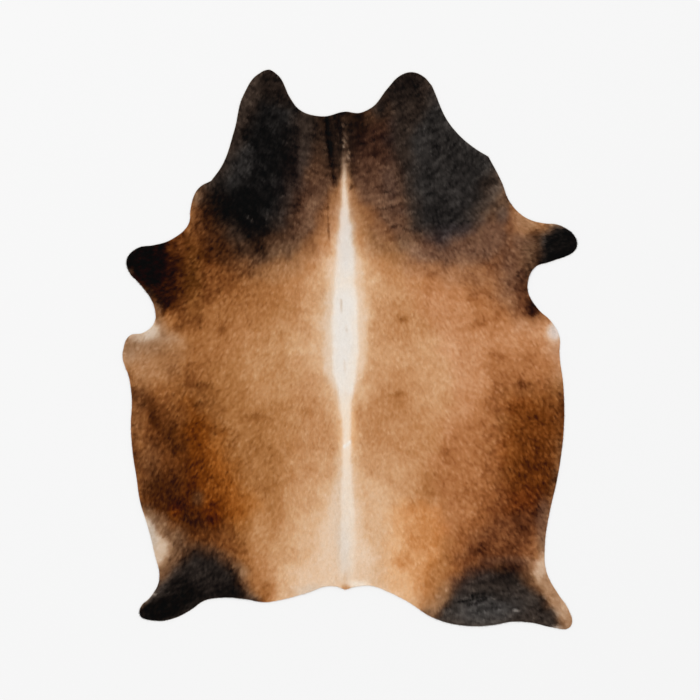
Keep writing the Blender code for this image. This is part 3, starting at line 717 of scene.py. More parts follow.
# Fullness of the hair's colour, from 0 for plain grey to 1 for the colours of the ramp
VIVID_MARKS: tuple[Mark, ...] = (
    Region("flank, left, warm", 1.18, (
        (-648, -203), (-540, -303), (-380, -623), (-440, -691), (-640, -643), (-668, -403)), 56, 24),
    Region("flank, right, warm", 1.08, (
        (641, -183), (821, -203), (821, -523), (781, -683), (641, -663), (601, -403)), 48, 24),
    Region("edge, left", 0.85, (
        (-960, 198), (-740, 98), (-640, 18), (-680, -90), (-800, -143), (-840, -283), (-840, -603),
        (-960, -603)), 44, 20),
    Region("rump, right, warm", 1.12, (
        (361, -623), (385, -723), (361, -843), (301, -963), (201, -1003), (133, -903), (161, -603)), 40, 20),
    Region("spine, left", 0.86, ((-115, 246), (-59, 246), (-59, -122), (-107, -122)), 16, 8),
    Patch("spine, left, lower", 0.84, -47, -651, 28, 200),
    Region("shoulders", 0.8, (
        (1001, -183), (1001, 1158), (-680, 1158), (-656, 558), (-616, 470), (-500, 334), (-400, 286),
        (-300, 286), (-200, 326), (-127, 390), (-47, 526), (9, 526), (129, 382), (221, 318), (529, 238),
        (681, 110), (781, 94), (841, -183)), 48, 20),
    Region("neck", 0.56, (
        (1001, 198), (1001, 1158), (-680, 1158), (-640, 614), (-584, 566), (-440, 378), (-340, 350),
        (-240, 382), (-168, 446), (-71, 646), (-19, 694), (85, 574), (189, 398), (321, 350), (441, 350),
        (561, 366), (621, 406), (641, 454), (681, 298), (741, 198)), 32, 16),
    Region("neck, left, ash", 0.28, (
        (-400, 434), (-260, 498), (-127, 838), (-111, 998), (-440, 1239), (-600, 918), (-580, 654),
        (-488, 478)), 36, 16),
    Region("neck, right, ash", 0.28, (
        (481, 470), (629, 638), (601, 1239), (113, 1239), (113, 1038), (169, 950), (149, 846), (245, 486),
        (361, 426)), 36, 16),
    Region("neck, left, black", 0.08, (
        (-368, 486), (-296, 542), (-228, 966), (-352, 998), (-512, 670), (-460, 550)), 36, 16),
    Region("neck, right, slate", 0.1, (
        (329, 1038), (241, 838), (249, 658), (293, 510), (377, 462), (465, 510), (529, 678), (601, 738),
        (481, 918)), 40, 16),
    Patch("crest, dark", 0.4, -55, 858, 80, 104),
    Region("foreleg, right", 0.15, ((765, 318), (765, 446), (825, 486), (1001, 518), (1001, 318)), 24, 12),
    Region("elbow, left", 0.66, ((-840, 238), (-696, 46), (-744, -2), (-940, -50), (-940, 198)), 48, 16),
    Region("thigh, left", 0.62, (
        (-880, -587), (-800, -623), (-640, -751), (-512, -791), (-440, -843), (-384, -939), (-352, -1083),
        (-920, -1163)), 32, 16),
    Region("hind leg, left", 0.2, (
        (-416, -1003), (-480, -1163), (-920, -1163), (-800, -963), (-720, -915), (-676, -851), (-624, -811),
        (-536, -835), (-476, -879)), 28, 12),
    Region("hind leg, right, dull", 0.66, (
        (1001, -783), (1001, -1163), (273, -1163), (273, -1051), (465, -855), (701, -795),
        (781, -823)), 36, 16),
    Region("hind leg, right", 0.22, (
        (329, -1083), (473, -907), (553, -875), (649, -883), (809, -1043), (873, -1163),
        (329, -1163)), 28, 12),
    Patch("hind leg, right, grey", 0.08, 541, -1035, 136, 56, turn=5),
    Patch("spine, ash, upper", 0.45, -15, 414, 32, 120),
    Patch("spine, cream", 1.15, -11, -315, 32, 112),
    Region("edge, right", 0.74, ((841, -843), (1001, -363), (825, -363), (805, -563), (753, -783)), 32, 16),
    Region("arm, right, tan edge", 0.82, (
        (629, 470), (721, 466), (781, 482), (841, 598), (641, 678), (609, 598)), 20, 8),
    Patch("arm, right", 0.62, 649, 326, 60, 104),
    Region("haunch, right, dull", 0.87, (
        (409, -843), (481, -731), (601, -667), (721, -651), (781, -699), (765, -851), (601, -867)), 28, 16),
    Patch("spine, ash, lower", 0.55, -23, 178, 36, 80),
    Patch("flank, left, warm spot", 1.2, -692, -635, 28, 36),
    Patch("flank, left, warm core", 1.25, -544, -655, 32, 52),
    Patch("belly, left", 0.84, -800, -459, 44, 96),
    Patch("foreleg, left, edge", 0.5, -804, 218, 24, 32),
    Patch("shoulder, right", 0.76, 117, 438, 64, 60),
    Patch("shoulder, right, edge", 0.5, 625, 598, 28, 52, turn=-15),
    Patch("neck, right, brown", 0.45, 169, 678, 40, 88),
    Patch("flap, right, edge", 0.3, 113, 982, 32, 48, turn=20),
    Patch("thigh, left, white", 0.4, -800, -739, 28, 56),
    Patch("rump edge, left", 0.4, -400, -995, 40, 24),
    Patch("rump edge, middle", 0.72, -148, -967, 80, 28),
    Patch("arm pit, right", 0.4, 825, 78, 32, 32),
    Patch("arm pit, left", 0.55, -840, 66, 68, 32),
    Patch("haunch, right, edge", 0.6, 777, -771, 28, 96),
    Patch("haunch, right, low", 0.66, 633, -847, 112, 24),
    Patch("spine, white", 0.5, -23, 38, 36, 176),
    Patch("arm, right, edge", 0.72, 681, 514, 72, 48, turn=-20),
    Patch("elbow, right", 0.7, 745, 182, 40, 32),
    Patch("edge, right", 0.62, 777, -659, 32, 64),
    Patch("shoulder, right, dull", 0.4, 605, 546, 24, 36),
    Patch("foreleg, left, brown", 0.7, -772, 178, 32, 32),
    Patch("rump edge, right", 0.6, 325, -1055, 32, 20),
    Patch("flank, left, dull core", 0.8, -608, -591, 24, 32),
    Patch("foreleg, left, tip", 0.3, -888, 318, 24, 36),
    Patch("spine, pale, low", 0.62, -23, -795, 28, 104),
    Patch("withers, right", 0.72, 121, 474, 28, 32),
)

# Levels by which the colour turns towards rose, or towards olive where less than 0
ROSY_MARKS: tuple[Mark, ...] = (
    Region("side, right", 2.6, (
        (401, -923), (761, -843), (801, -603), (601, -523), (621, -203), (881, -82), (841, 158), (721, 198),
        (681, 598), (521, 498), (201, 438), (273, 198), (361, 38), (409, -203), (321, -483)), 56, 32),
    Region("neck, right", 2, ((161, 918), (241, 458), (121, 438), (9, 638), (9, 878)), 36, 20),
    Patch("neck, left", 1.6, -136, 558, 104, 200, turn=12),
    Region("flank, left", -1.2, (
        (-240, 198), (-200, -283), (-260, -843), (-352, -843), (-460, -763), (-700, -363), (-680, -163),
        (-580, -122)), 64, 32),
    Patch("shoulder, left", -2.2, -624, 310, 36, 144),
)

# How wrinkled the skin is, from 0 to 1; where it is, painted light and shade streak it along the wrinkles
WRINKLE_MARKS: tuple[Mark, ...] = (
    Region("neck", 0.85, (
        (-600, 1102), (601, 1102), (641, 502), (433, 402), (153, 410), (-19, 482), (-200, 422),
        (-460, 442)), 88, 32),
    Patch("hind leg, right", 0.9, 561, -1003, 220, 120, softness=0.5),
    Patch("hind leg, left", 0.5, -620, -951, 200, 120, softness=0.5),
)


# Guides: a place on the animal, where it is across and along the hide in millimetres, and which way
# the hair lies there or the wrinkles run, in degrees anticlockwise from straight right
Guide = tuple[str, float, float, float]
HAIR_GUIDES: tuple[Guide, ...] = (
    ("crest", -20, 850, -90), ("withers", -20, 500, -90), ("back", -20, 0, -90), ("loin", -20, -500, -90),
    ("root of the tail", -20, -900, -90), ("neck, left", -300, 720, -106), ("neck, right", 300, 720, -74),
    ("flap, left", -330, 1060, -112), ("flap, right", 250, 1050, -68), ("shoulder, left", -520, 450, -128),
    ("shoulder, right", 520, 470, -52), ("foreleg, left", -840, 330, -172),
    ("foreleg, right", 850, 420, -8), ("ribs, left", -380, 0, -112), ("ribs, right", 380, 0, -68),
    ("flank, left", -780, -50, -128), ("flank, right", 780, -50, -52), ("belly, left", -760, -480, -112),
    ("belly, right", 760, -480, -62), ("side, right", 520, -300, -54), ("side, left", -520, -300, -118),
    ("thigh, left", -480, -760, -106), ("thigh, right", 480, -760, -66),
    ("hind leg, left", -760, -1010, -140), ("hind leg, right", 800, -1040, -48),
)
WRINKLE_GUIDES: tuple[Guide, ...] = (
    ("crest, left", -120, 820, -20), ("neck, left", -300, 760, -30), ("outer neck, left", -420, 700, -52),
    ("withers, left", -200, 520, -28), ("shoulder, left", -420, 460, -58), ("crest, right", 60, 820, 30),
    ("neck, right", 240, 760, 22), ("outer neck, right", 380, 800, 48), ("withers, right", 140, 560, 22),
    ("shoulder, right", 400, 560, 24), ("outer shoulder, right", 560, 440, 40), ("back", 0, 300, 0),
    ("hind leg, right", 560, -980, 12), ("hind leg, left", -660, -960, 30),
)


@dataclass
class Lie:
    """A field of directions over the hide, led by guides."""

    guides: tuple[Guide, ...]  # places where the direction is given
    reach: float = 180.0  # distance over which a guide's say falls off, in millimetres
    blur: float = 0.15  # keeps the say of a guide even close by it; squared share of the reach
    fall: float = 1.5  # power with which its say falls off
    swirl: Mottle = Mottle(pitch=0.16, seed=31)  # random field that bends the direction
    swirl_depth: float = 9.0  # most that it bends it, in degrees
    least_steps: int = 3  # least number of readings along a streak

    def flow(self, points: Points) -> Points:
        """Unit direction at each point.

        Args:
            points: Where to read it.

        Returns:
            Rows of x, y.
        """
        flow = np.zeros((len(points), 2))
        for _, guide_across, guide_along, degrees in self.guides:
            across = points[:, 0] / MM - guide_across
            along = points[:, 1] / MM - guide_along
            say = 1.0 / ((across * across + along * along) / self.reach ** 2 + self.blur) ** self.fall
            heading = math.radians(degrees)
            flow += say[:, None] * np.array([math.cos(heading), math.sin(heading)])
        bend = np.radians(self.swirl_depth) * self.swirl.rough(points, octaves=3)
        turned = np.arctan2(flow[:, 1], flow[:, 0]) + bend
        return np.stack([np.cos(turned), np.sin(turned)], axis=1)

    def streaks(self, points: Points, noise: Mottle, length: float) -> Values:
        """A random field drawn out along the direction.

        Args:
            points: Where to read it.
            noise: The field before it is drawn out.
            length: How far it is drawn out.

        Returns:
            One value from about -1 to 1 per point.
        """
        flow = self.flow(points)
        steps = max(self.least_steps, round(length / noise.pitch) + 1)
        total = np.zeros(len(points))
        for place in np.linspace(-0.5, 0.5, steps):
            total += noise.at(points + flow * (place * length))
        return total / math.sqrt(steps)


@dataclass
class HidePattern:
    """The hide's natural colours, as soft marks over a tan ground."""

    light: tuple[Mark, ...] = LIGHT_MARKS  # marks that lighten or darken the hair
    vivid: tuple[Mark, ...] = VIVID_MARKS  # marks that dull or warm its colour
    # Marks that turn it towards rose, or towards olive where less than 0
    rosy: tuple[Mark, ...] = ROSY_MARKS
    wrinkled: tuple[Mark, ...] = WRINKLE_MARKS  # marks of wrinkled skin
    hair: Lie = field(default_factory=lambda: Lie(HAIR_GUIDES))  # lie of the hair
    wrinkles: Lie = field(default_factory=lambda: Lie(WRINKLE_GUIDES))  # run of the wrinkles, along which their painted light and shade is streaked
    wander: Mottle = Mottle(pitch=0.055, seed=4)  # random field along the marks' edges
    cloud: Mottle = Mottle(pitch=0.120, seed=9)  # random field of broad light and dark, and its depth
    cloud_depth: float = 5.0
    # Random field of blotches as wide as two fingers, and its depth
    dapple: Mottle = Mottle(pitch=0.034, seed=77)
    dapple_depth: float = 7.0
    speckle: Mottle = Mottle(pitch=0.0080, seed=88)  # random field of small clumps of hair, and its depth
    speckle_depth: float = 12.0
    # Random field that streaks the coat along the hair, its streaks' length and depth
    wisp: Mottle = Mottle(pitch=0.0034, seed=52)
    wisp_length: float = 0.0065
    wisp_depth: float = 26.0
    wisp_loss: float = 0.65  # share of the wisps' depth that wrinkled skin loses
    mottle_loss: float = 0.40  # share of the clouds', dapples' and speckles' depth that it loses
    # Random field of painted light and shade that streaks the wrinkled skin along its wrinkles, its streaks'
    # length and depth
    wrinkle_shading: Mottle = Mottle(pitch=0.0052, seed=63)
    wrinkle_shading_length: float = 0.022
    wrinkle_shading_depth: float = 26.0
    fleck_depth: float = 58.0  # how much a single tuft's lightness differs
    full_colour: float = 0.96  # strength of the colour where no mark changes it
    darkest: float = 4.0  # least lightness
    lightest: float = 250.0  # greatest lightness
    gloss_lift: float = 0.0038  # what the hair's gloss adds in the studio's light, taken off its colour
    least_colour: float = 0.0006  # least linear red, green or blue

    def grain(self, points: Points, wander: Values) -> Values:
        """Light and dark of the hair's wisps and clumps, and painted light and shade along the skin's
        wrinkles.

        Args:
            points: Where to read it.
            wander: The edges' random field at the points.

        Returns:
            Change of lightness per point.
        """
        wrinkled = pull(self.wrinkled, 0.0, points, wander)
        grain = self.cloud_depth * self.cloud.rough(points)
        grain += self.dapple_depth * self.dapple.rough(points, octaves=3)
        grain += self.speckle_depth * self.speckle.rough(points, octaves=2)
        grain *= 1.0 - self.mottle_loss * wrinkled
        wisps = self.hair.streaks(points, self.wisp, self.wisp_length)
        grain += self.wisp_depth * (1.0 - self.wisp_loss * wrinkled) * wisps
        wrinkle_shading_streaks = self.wrinkles.streaks(points, self.wrinkle_shading, self.wrinkle_shading_length)
        # painted light and shade along the wrinkles
        return grain + self.wrinkle_shading_depth * wrinkled * wrinkle_shading_streaks

    def colours(self, points: Points, fleck: Values | float = 0.0) -> Colours:
        """Linear hair colour at each point.

        Args:
            points: Where to read it.
            fleck: How much lighter each tuft is than its neighbours, from -1 to 1.

        Returns:
            Rows of linear red, green, blue.
        """
        wander = self.wander.rough(points)
        light = pull(self.light, TAN_LIGHTNESS, points, wander)
        shown = np.interp(light, *np.array(GRAIN_SHOWN).T)
        light += shown * (self.grain(points, wander) + self.fleck_depth * fleck)
        light = np.clip(light, self.darkest, self.lightest)
        vivid = pull(self.vivid, self.full_colour, points, wander)
        screen = light[:, None] + (hair_colour(light) - light[:, None]) * vivid[:, None]
        screen += pull(self.rosy, 0.0, points, wander)[:, None] * np.array(ROSE_TURN)
        return np.maximum(to_linear(screen) - self.gloss_lift, self.least_colour)


def pull(marks: tuple[Mark, ...], ground: float, points: Points, wander: Values) -> Values:
    """Let each mark in turn pull a ground value towards its own level.

    Args:
        marks: Marks in the order in which they are laid.
        ground: Value before them.
        points: Where to read them.
        wander: The edges' random field at the points.

    Returns:
        Value at each point after them.
    """
    level = np.full(len(points), ground)
    for mark in marks:
        level += (mark.level - level) * mark.cover(points, wander)
    return level


def hair_colour(light: Values) -> Colours:
    """Screen colour of full-coloured hair of a given lightness.

    Args:
        light: Lightness of each point.

    Returns:
        Rows of red, green, blue from 0 to 255.
    """
    stops = np.array(HAIR_RAMP, float)
    places = stops @ np.array(EYE_WEIGHTS)
    return np.stack([np.interp(light, places, channel) for channel in stops.T], axis=1)


@dataclass(frozen=True)
class Crease:
    """A soft trough left by packing. Widths, depths and places are in millimetres."""

    place: str  # where it is
    half_width: float  # half its width
    depth: float  # how deep it is where its route starts
    route: Places  # places along it, from its deep end


@dataclass(frozen=True)
class Wave:
    """A low wave of the tanned hide. Heights and pitches are in millimetres, headings in degrees."""

    place: str
    height: float
    pitch: float
    heading: float


CREASES = (
    Crease("neck, long", 8, 2.0, ((-93, 912), (-86, 858), (-79, 798), (-72, 733), (-64, 671))),
    Crease("neck, short", 9, 1.3, ((-47, 915), (-45, 878), (-47, 836))),
    Crease("hind leg, lower", 7, 1.6, ((536, -983), (499, -999), (461, -1017))),
    Crease("hind leg, upper", 6, 1.2, ((507, -967), (467, -989), (419, -997))),
)
WAVES = (
    Wave("along the back", 0.25, 430, 82),
    Wave("across the flanks", 0.20, 560, 12),
    Wave("slanting", 0.20, 310, 140),
)
# Places where the cut edge turns sharply instead of curving, in millimetres
EDGE_CORNERS = ((-19, -961), (-556, 675), (555, 772))


@dataclass
class HideForm:
    """Outline, thickness and relief of the hide, on the solid's own cut edge."""

    solid: bpy.types.Object  # the frame's solid, whose floor edge gives the outline
    edge_step: float = 0.0055  # longest step along the finer cut edge
    corner_reach: float = 0.010  # how near a listed corner a point of the edge must be to stay sharp
    leather_edge: float = 0.0022  # leather thickness at the belly
    leather_spine: float = 0.0034  # leather thickness along the spine
    spine_half_width: float = 0.34  # half the width of the thick back
    undercoat: float = 0.0011  # height of the dense hair roots over the leather
    undercoat_run: float = 0.005  # distance from the cut edge over which the undercoat rises
    relief_run: float = 0.012  # distance from the cut edge over which the waves and creases set in
    crease_steepness: float = 2.0  # how steeply a crease's sides fall
    crease_fade: float = 0.7  # share of its depth that a crease loses by its far end
    rough_edge: Points = field(init=False)  # the solid's own floor edge
    edge: Points = field(init=False)  # the finer cut edge

    WELD = 1e-6            # corners of the solid this close are one
    FLOOR_HEIGHT = 1e-5    # greatest height of a corner that lies on the floor
    FACES_DOWN = -0.9      # greatest upward share of the direction of a face that lies on the floor

    def __post_init__(self) -> None:
        """Read the solid's floor edge and draw the finer one through it."""
        self.rough_edge = self._floor_edge()
        self.edge = self._finer_edge()

    def _floor_edge(self) -> Points:
        """Read the solid's floor edge.

        Returns:
            Its points, anticlockwise.
        """
        shell = bmesh.new()
        shell.from_mesh(self.solid.data)
        bmesh.ops.remove_doubles(shell, verts=shell.verts, dist=self.WELD)
        shell.normal_update()
        following = {}
        for edge in shell.edges:
            floor_faces = [face for face in edge.link_faces if face.normal.z < self.FACES_DOWN]
            if len(floor_faces) == 1 and max(vert.co.z for vert in edge.verts) < self.FLOOR_HEIGHT:
                loop = next(loop for loop in edge.link_loops if loop.face == floor_faces[0])
                following[loop.link_loop_next.vert] = loop.vert
        start = min(following, key=lambda vert: (vert.co.y, vert.co.x))
        ordered = [start]
        while following[ordered[-1]] != start:
            ordered.append(following[ordered[-1]])
        points = np.array([vert.co[:2] for vert in ordered], float)
        shell.free()
        return points

    def _finer_edge(self) -> Points:
        """Draw a smooth curve through the floor edge's points that keeps its sharp corners.

        Returns:
            The curve's points, anticlockwise.
        """
        rough = self.rough_edge
        corners = np.array(EDGE_CORNERS, float) * MM
        gaps = np.linalg.norm(rough[:, None, :] - corners[None, :, :], axis=2).min(axis=1)
        sharp = gaps < self.corner_reach
        finer = []
        for index in range(len(rough)):
            following, after = (index + 1) % len(rough), (index + 2) % len(rough)
            start, end = rough[index], rough[following]
            leave = end - start if sharp[index] else (end - rough[index - 1]) / 2.0
            arrive = end - start if sharp[following] else (rough[after] - start) / 2.0
            steps = math.ceil(float(np.linalg.norm(end - start)) / self.edge_step)
            finer += [hermite(start, end, leave, arrive, step / steps) for step in range(steps)]
        return np.array(finer)

    def inset(self, distance: float) -> Points:
        """The finer cut edge moved inwards.

        Args:
            distance: How far.

        Returns:
            One point for each point of the edge.
        """
        tangent = np.roll(self.edge, -1, axis=0) - np.roll(self.edge, 1, axis=0)
        tangent /= np.linalg.norm(tangent, axis=1)[:, None]
        return self.edge + distance * np.stack([-tangent[:, 1], tangent[:, 0]], axis=1)

    def depth_inside(self, points: Points) -> Values:
        """Distance from each point to the cut edge, positive on the hide."""
        return -outline_distance(points, self.rough_edge)

    def leather(self, points: Points) -> Values:
        """Leather thickness at each point."""
        back = np.exp(-((points[:, 0] / self.spine_half_width) ** 2))
        return self.leather_edge + (self.leather_spine - self.leather_edge) * back

    def swell(self, points: Points) -> Values:
        """Height that the low waves add or take away.

        Args:
            points: Where to read it.

        Returns:
            One height per point.
        """
        height = np.zeros(len(points))
        for wave in WAVES:
            heading = math.radians(wave.heading)
            along = points[:, 0] * math.cos(heading) + points[:, 1] * math.sin(heading)
            height += wave.height * MM * np.sin(math.tau * along / (wave.pitch * MM))
        return height

    def crease_depth(self, points: Points) -> Values:
        """How deep the creases press the hair side down.

        Args:
            points: Where to read it.

        Returns:
            One depth per point.
        """
        depth = np.zeros(len(points))
        for crease in CREASES:
            gap, share = route_distance(points / MM, np.array(crease.route, float))
            fade = 1.0 - self.crease_fade * share
            fall = np.exp(-self.crease_steepness * (gap / crease.half_width) ** 2)
            depth = np.maximum(depth, crease.depth * MM * fade * fall)
        return depth

    def surface(self, points: Points) -> Values:
        """Height of the hair roots' surface over the floor.

        Args:
            points: Where to read it.

        Returns:
            One height per point.
        """
        inside = np.clip(self.depth_inside(points), 0.0, None)
        risen = smoothstep(0.0, self.undercoat_run, inside)
        relief = self.swell(points) - self.crease_depth(points)
        eased = smoothstep(0.0, self.relief_run, inside)
        return self.leather(points) + self.undercoat * risen + relief * eased


def hermite(start: Points, end: Points, leave: Points, arrive: Points, share: float) -> Points:
    """Point on a smooth curve between two points.

    Args:
        start: First point.
        end: Second point.
        leave: Direction and pace at the first point.
        arrive: Direction and pace at the second point.
        share: How far along, from 0 to 1.

    Returns:
        The point.
    """
    square, cube = share * share, share * share * share
    return (
        start * (2.0 * cube - 3.0 * square + 1.0)
        + leave * (cube - 2.0 * square + share)
        + end * (3.0 * square - 2.0 * cube)
        + arrive * (cube - square)
    )


def staggered(low: Points, high: Points, step: float) -> Points:
    """Points of a staggered grid over a box.

    Args:
        low: Lowest corner.
        high: Highest corner.
        step: Distance between neighbours.

    Returns:
        Rows of x, y.
    """
    rows = np.arange(low[1], high[1], step * math.sqrt(3.0) / 2.0)
    x, y = np.meshgrid(np.arange(low[0], high[0], step), rows)
    x = x + 0.5 * step * (np.arange(len(rows)) % 2)[:, None]
    return np.stack([x.ravel(), y.ravel()], axis=1)


def triangulate(ring: Points, inner: Points) -> np.ndarray:
    """Triangles that fill a ring and use the points inside it.

    Args:
        ring: Closed outline, anticlockwise.
        inner: Points inside it.

    Returns:
        Rows of three indices, into the ring's points followed by the inner ones.
    """
    points = [Vector(point) for point in np.concatenate([ring, inner])]
    inside_only, tolerance = 1, 1e-9
    result = delaunay_2d_cdt(points, [], [list(range(len(ring)))], inside_only, tolerance)
    faces, origins = result[2], result[3]
    return np.array([[origins[corner][0] for corner in face] for face in faces], dtype=np.int64)


def read(items: bpy.types.bpy_prop_collection, name: str, width: int = 1, kind: type = float) -> np.ndarray:
    """One property of all items of a mesh.

    Args:
        items: Vertices, faces, face corners or an attribute's values.
        name: Blender's name of the property.
        width: Numbers in each value.
        kind: Type of the numbers.

    Returns:
        One value or one row per item.
    """
    values = np.empty(len(items) * width, kind)
    items.foreach_get(name, values)
    return values.reshape(-1, width) if width > 1 else values


def paint(mesh: bpy.types.Mesh, name: str, colours: Colours) -> None:
    """Store linear colours on a mesh's vertices.

    Args:
        mesh: Mesh to paint.
        name: Name of its colour attribute.
        colours: One colour per vertex.
    """
    layer = mesh.color_attributes.new(name, "FLOAT_COLOR", "POINT")
    rows = np.ones((len(mesh.vertices), 4), np.float32)
    rows[:, :3] = colours
    layer.data.foreach_set("color", rows.ravel())


def add_map(mesh: bpy.types.Mesh, name: str, places: Points) -> None:
    """Store a flat map on a mesh, with one place on the map per face corner."""
    layer = mesh.uv_layers.new(name=name)
    layer.data.foreach_set("uv", np.asarray(places, np.float32).ravel())


def corner_vertices(mesh: bpy.types.Mesh) -> np.ndarray:
    """Vertex number of each face corner."""
    return read(mesh.loops, "vertex_index", kind=np.int32)


def vertex_places(mesh: bpy.types.Mesh) -> np.ndarray:
    """Places of a mesh's vertices, as rows of x, y, z."""
    return read(mesh.vertices, "co", width=3)


def put(name: str, data: bpy.types.ID) -> bpy.types.Object:
    """Put a new object in the scene.

    Args:
        name: Its name.
        data: Its mesh, light or camera.

    Returns:
        The object.
    """
    thing = bpy.data.objects.new(name, data)
    bpy.context.scene.collection.objects.link(thing)
    return thing


def add_node(tree: bpy.types.NodeTree, kind: str, feeds: Feeds = None, **settings: object) -> Node:
    """Add a node to a tree.

    Args:
        tree: The tree.
        kind: Blender's name of the node type.
        feeds: What its named or numbered inputs get: another node's output, or a fixed value.
        settings: Values for its properties.

    Returns:
        The node.
    """
    node = tree.nodes.new(kind)
    for name, value in settings.items():
        setattr(node, name, value)
    feed(tree, node, feeds)
    return node


def feed(tree: bpy.types.NodeTree, node: Node, feeds: Feeds) -> None:
    """Link or set a node's inputs.

    Args:
        tree: The tree.
        node: The node.
        feeds: What its named or numbered inputs get: another node's output, or a fixed value.
    """
    for socket, value in (feeds or {}).items():
        if isinstance(value, Socket):
            tree.links.new(value, node.inputs[socket])
        else:
            node.inputs[socket].default_value = value


class Side(Enum):
    """Sides of the hide, by the number of their material on the mesh."""

    HAIR = 0
    CUT = 1
    FLESH = 2


COAT_COLOUR = "coat"         # colour attribute of the hide and of its hair
STRAND_MAP = "strand"        # map whose u runs across a tuft of hair and v along it
BAKE_MAP = "OFBake"


class NodeSheet:
    """Short way to lay out a material's nodes."""

    def __init__(self, name: str) -> None:
        """Start a material with a principled shader.

        Args:
            name: Name of the material.
        """
        self.material = bpy.data.materials.new(name)
        self.material.use_nodes = True
        self.tree = self.material.node_tree
        self.tree.nodes.clear()
        self.shader = self.add("ShaderNodeBsdfPrincipled")
        self.add("ShaderNodeOutputMaterial", {"Surface": self.shader.outputs["BSDF"]})

    def add(self, kind: str, feeds: Feeds = None, **settings: object) -> Node:
        """Add a node, as add_node does."""
        return add_node(self.tree, kind, feeds, **settings)

    def finish(self, feeds: Feeds) -> bpy.types.Material:
        """Feed the shader and hand the material over."""
        feed(self.tree, self.shader, feeds)
        return self.material


@dataclass(frozen=True)
class HairFinish:
    """Short cattle hair in the colours painted on the mesh."""

    name: str  # name of the material
    roughness: float = 0.55  # spread of its gloss
    gloss: float = 0.03  # specular level
    by_map: bool = True  # strands follow the tuft's map, or else are fine grain over the hide
    # Strands across a tuft and along it; the third number has no effect
    strands: tuple[float, float, float] = (7.0, 1.1, 1.0)
    root_grain: float = 420.0  # grains per metre over the hide
    detail: float = 2.0  # finer layers of the strands or grains
    # Part of the noise, from 0 to 1, that becomes the strands' light and dark
    shown: tuple[float, float] = (0.3, 0.7)
    contrast: float = 0.5  # lightest less darkest strand

    def material(self) -> bpy.types.Material:
        """Build the material.

        Returns:
            The material.
        """
        sheet = NodeSheet(self.name)
        coat = sheet.add("ShaderNodeVertexColor", layer_name=COAT_COLOUR)
        if self.by_map:
            place = sheet.add("ShaderNodeUVMap", uv_map=STRAND_MAP).outputs["UV"]
            spread = sheet.add("ShaderNodeMapping", {"Vector": place, "Scale": self.strands}).outputs[0]
        else:
            spread = sheet.add("ShaderNodeTexCoord").outputs["Object"]
        grain = sheet.add("ShaderNodeTexNoise", {
            "Vector": spread, "Scale": 1.0 if self.by_map else self.root_grain, "Detail": self.detail,
        })
        level = sheet.add("ShaderNodeMapRange", {
            "Value": grain.outputs["Fac"],
            "From Min": self.shown[0],
            "From Max": self.shown[1],
            "To Min": 1.0 - self.contrast / 2.0,
            "To Max": 1.0 + self.contrast / 2.0,
        })
        shade = sheet.add("ShaderNodeVectorMath", operation="SCALE", feeds={
            0: coat.outputs["Color"], "Scale": level.outputs["Result"],
        })
        return sheet.finish({
            "Base Color": shade.outputs["Vector"],
            "Roughness": self.roughness,
            "Specular IOR Level": self.gloss,
        })


@dataclass(frozen=True)
class LeatherFinish:
    """Bare tanned leather with a fine nap."""

    name: str  # name of the material
    dark: tuple[int, int, int]  # darker colour of the nap, as screen values
    light: tuple[int, int, int]  # lighter colour of the nap
    grain: float  # lumps of nap per metre
    detail: float = 5.0  # finer layers of the nap
    # Where on the noise, from 0 to 1, the darker colour ends and the lighter one starts
    tones: tuple[float, float] = (0.35, 0.65)
    roughness: float = 0.9  # spread of its gloss
    gloss: float = 0.2  # specular level
    nap_height: float = 0.0003  # height of the nap
    nap_strength: float = 0.5  # share of that height that shows

    def material(self) -> bpy.types.Material:
        """Build the material.

        Returns:
            The material.
        """
        sheet = NodeSheet(self.name)
        nap = sheet.add("ShaderNodeTexNoise", {
            "Vector": sheet.add("ShaderNodeTexCoord").outputs["Object"],
            "Scale": self.grain,
            "Detail": self.detail,
        }).outputs["Fac"]
        tone = sheet.add("ShaderNodeValToRGB", {"Fac": nap})
        for stop, position, colour in zip(tone.color_ramp.elements, self.tones, (self.dark, self.light)):
            stop.position = position
            stop.color = (*to_linear(np.array(colour)), 1.0)
        relief = sheet.add("ShaderNodeBump", {
            "Height": nap, "Strength": self.nap_strength, "Distance": self.nap_height,
        })
        return sheet.finish({
            "Base Color": tone.outputs["Color"],
            "Normal": relief.outputs["Normal"],
            "Roughness": self.roughness,
            "Specular IOR Level": self.gloss,
        })


@dataclass(frozen=True)
class FloorFinish:
    """Plain pale studio floor."""

    name: str = "studio floor"
    level: float = 0.69  # its grey, linear from 0 to 1
    roughness: float = 0.95

    def material(self) -> bpy.types.Material:
        """Build the material.

        Returns:
            The material.
        """
        return NodeSheet(self.name).finish({
            "Base Color": (self.level, self.level, self.level, 1.0),
            "Roughness": self.roughness,
            "Specular IOR Level": 0.0,
        })


CUT_LEATHER = LeatherFinish("cut leather", (150, 140, 126), (196, 187, 172), 900.0)
FLESH_SIDE = LeatherFinish("flesh side", (176, 164, 146), (214, 204, 188), 160.0)


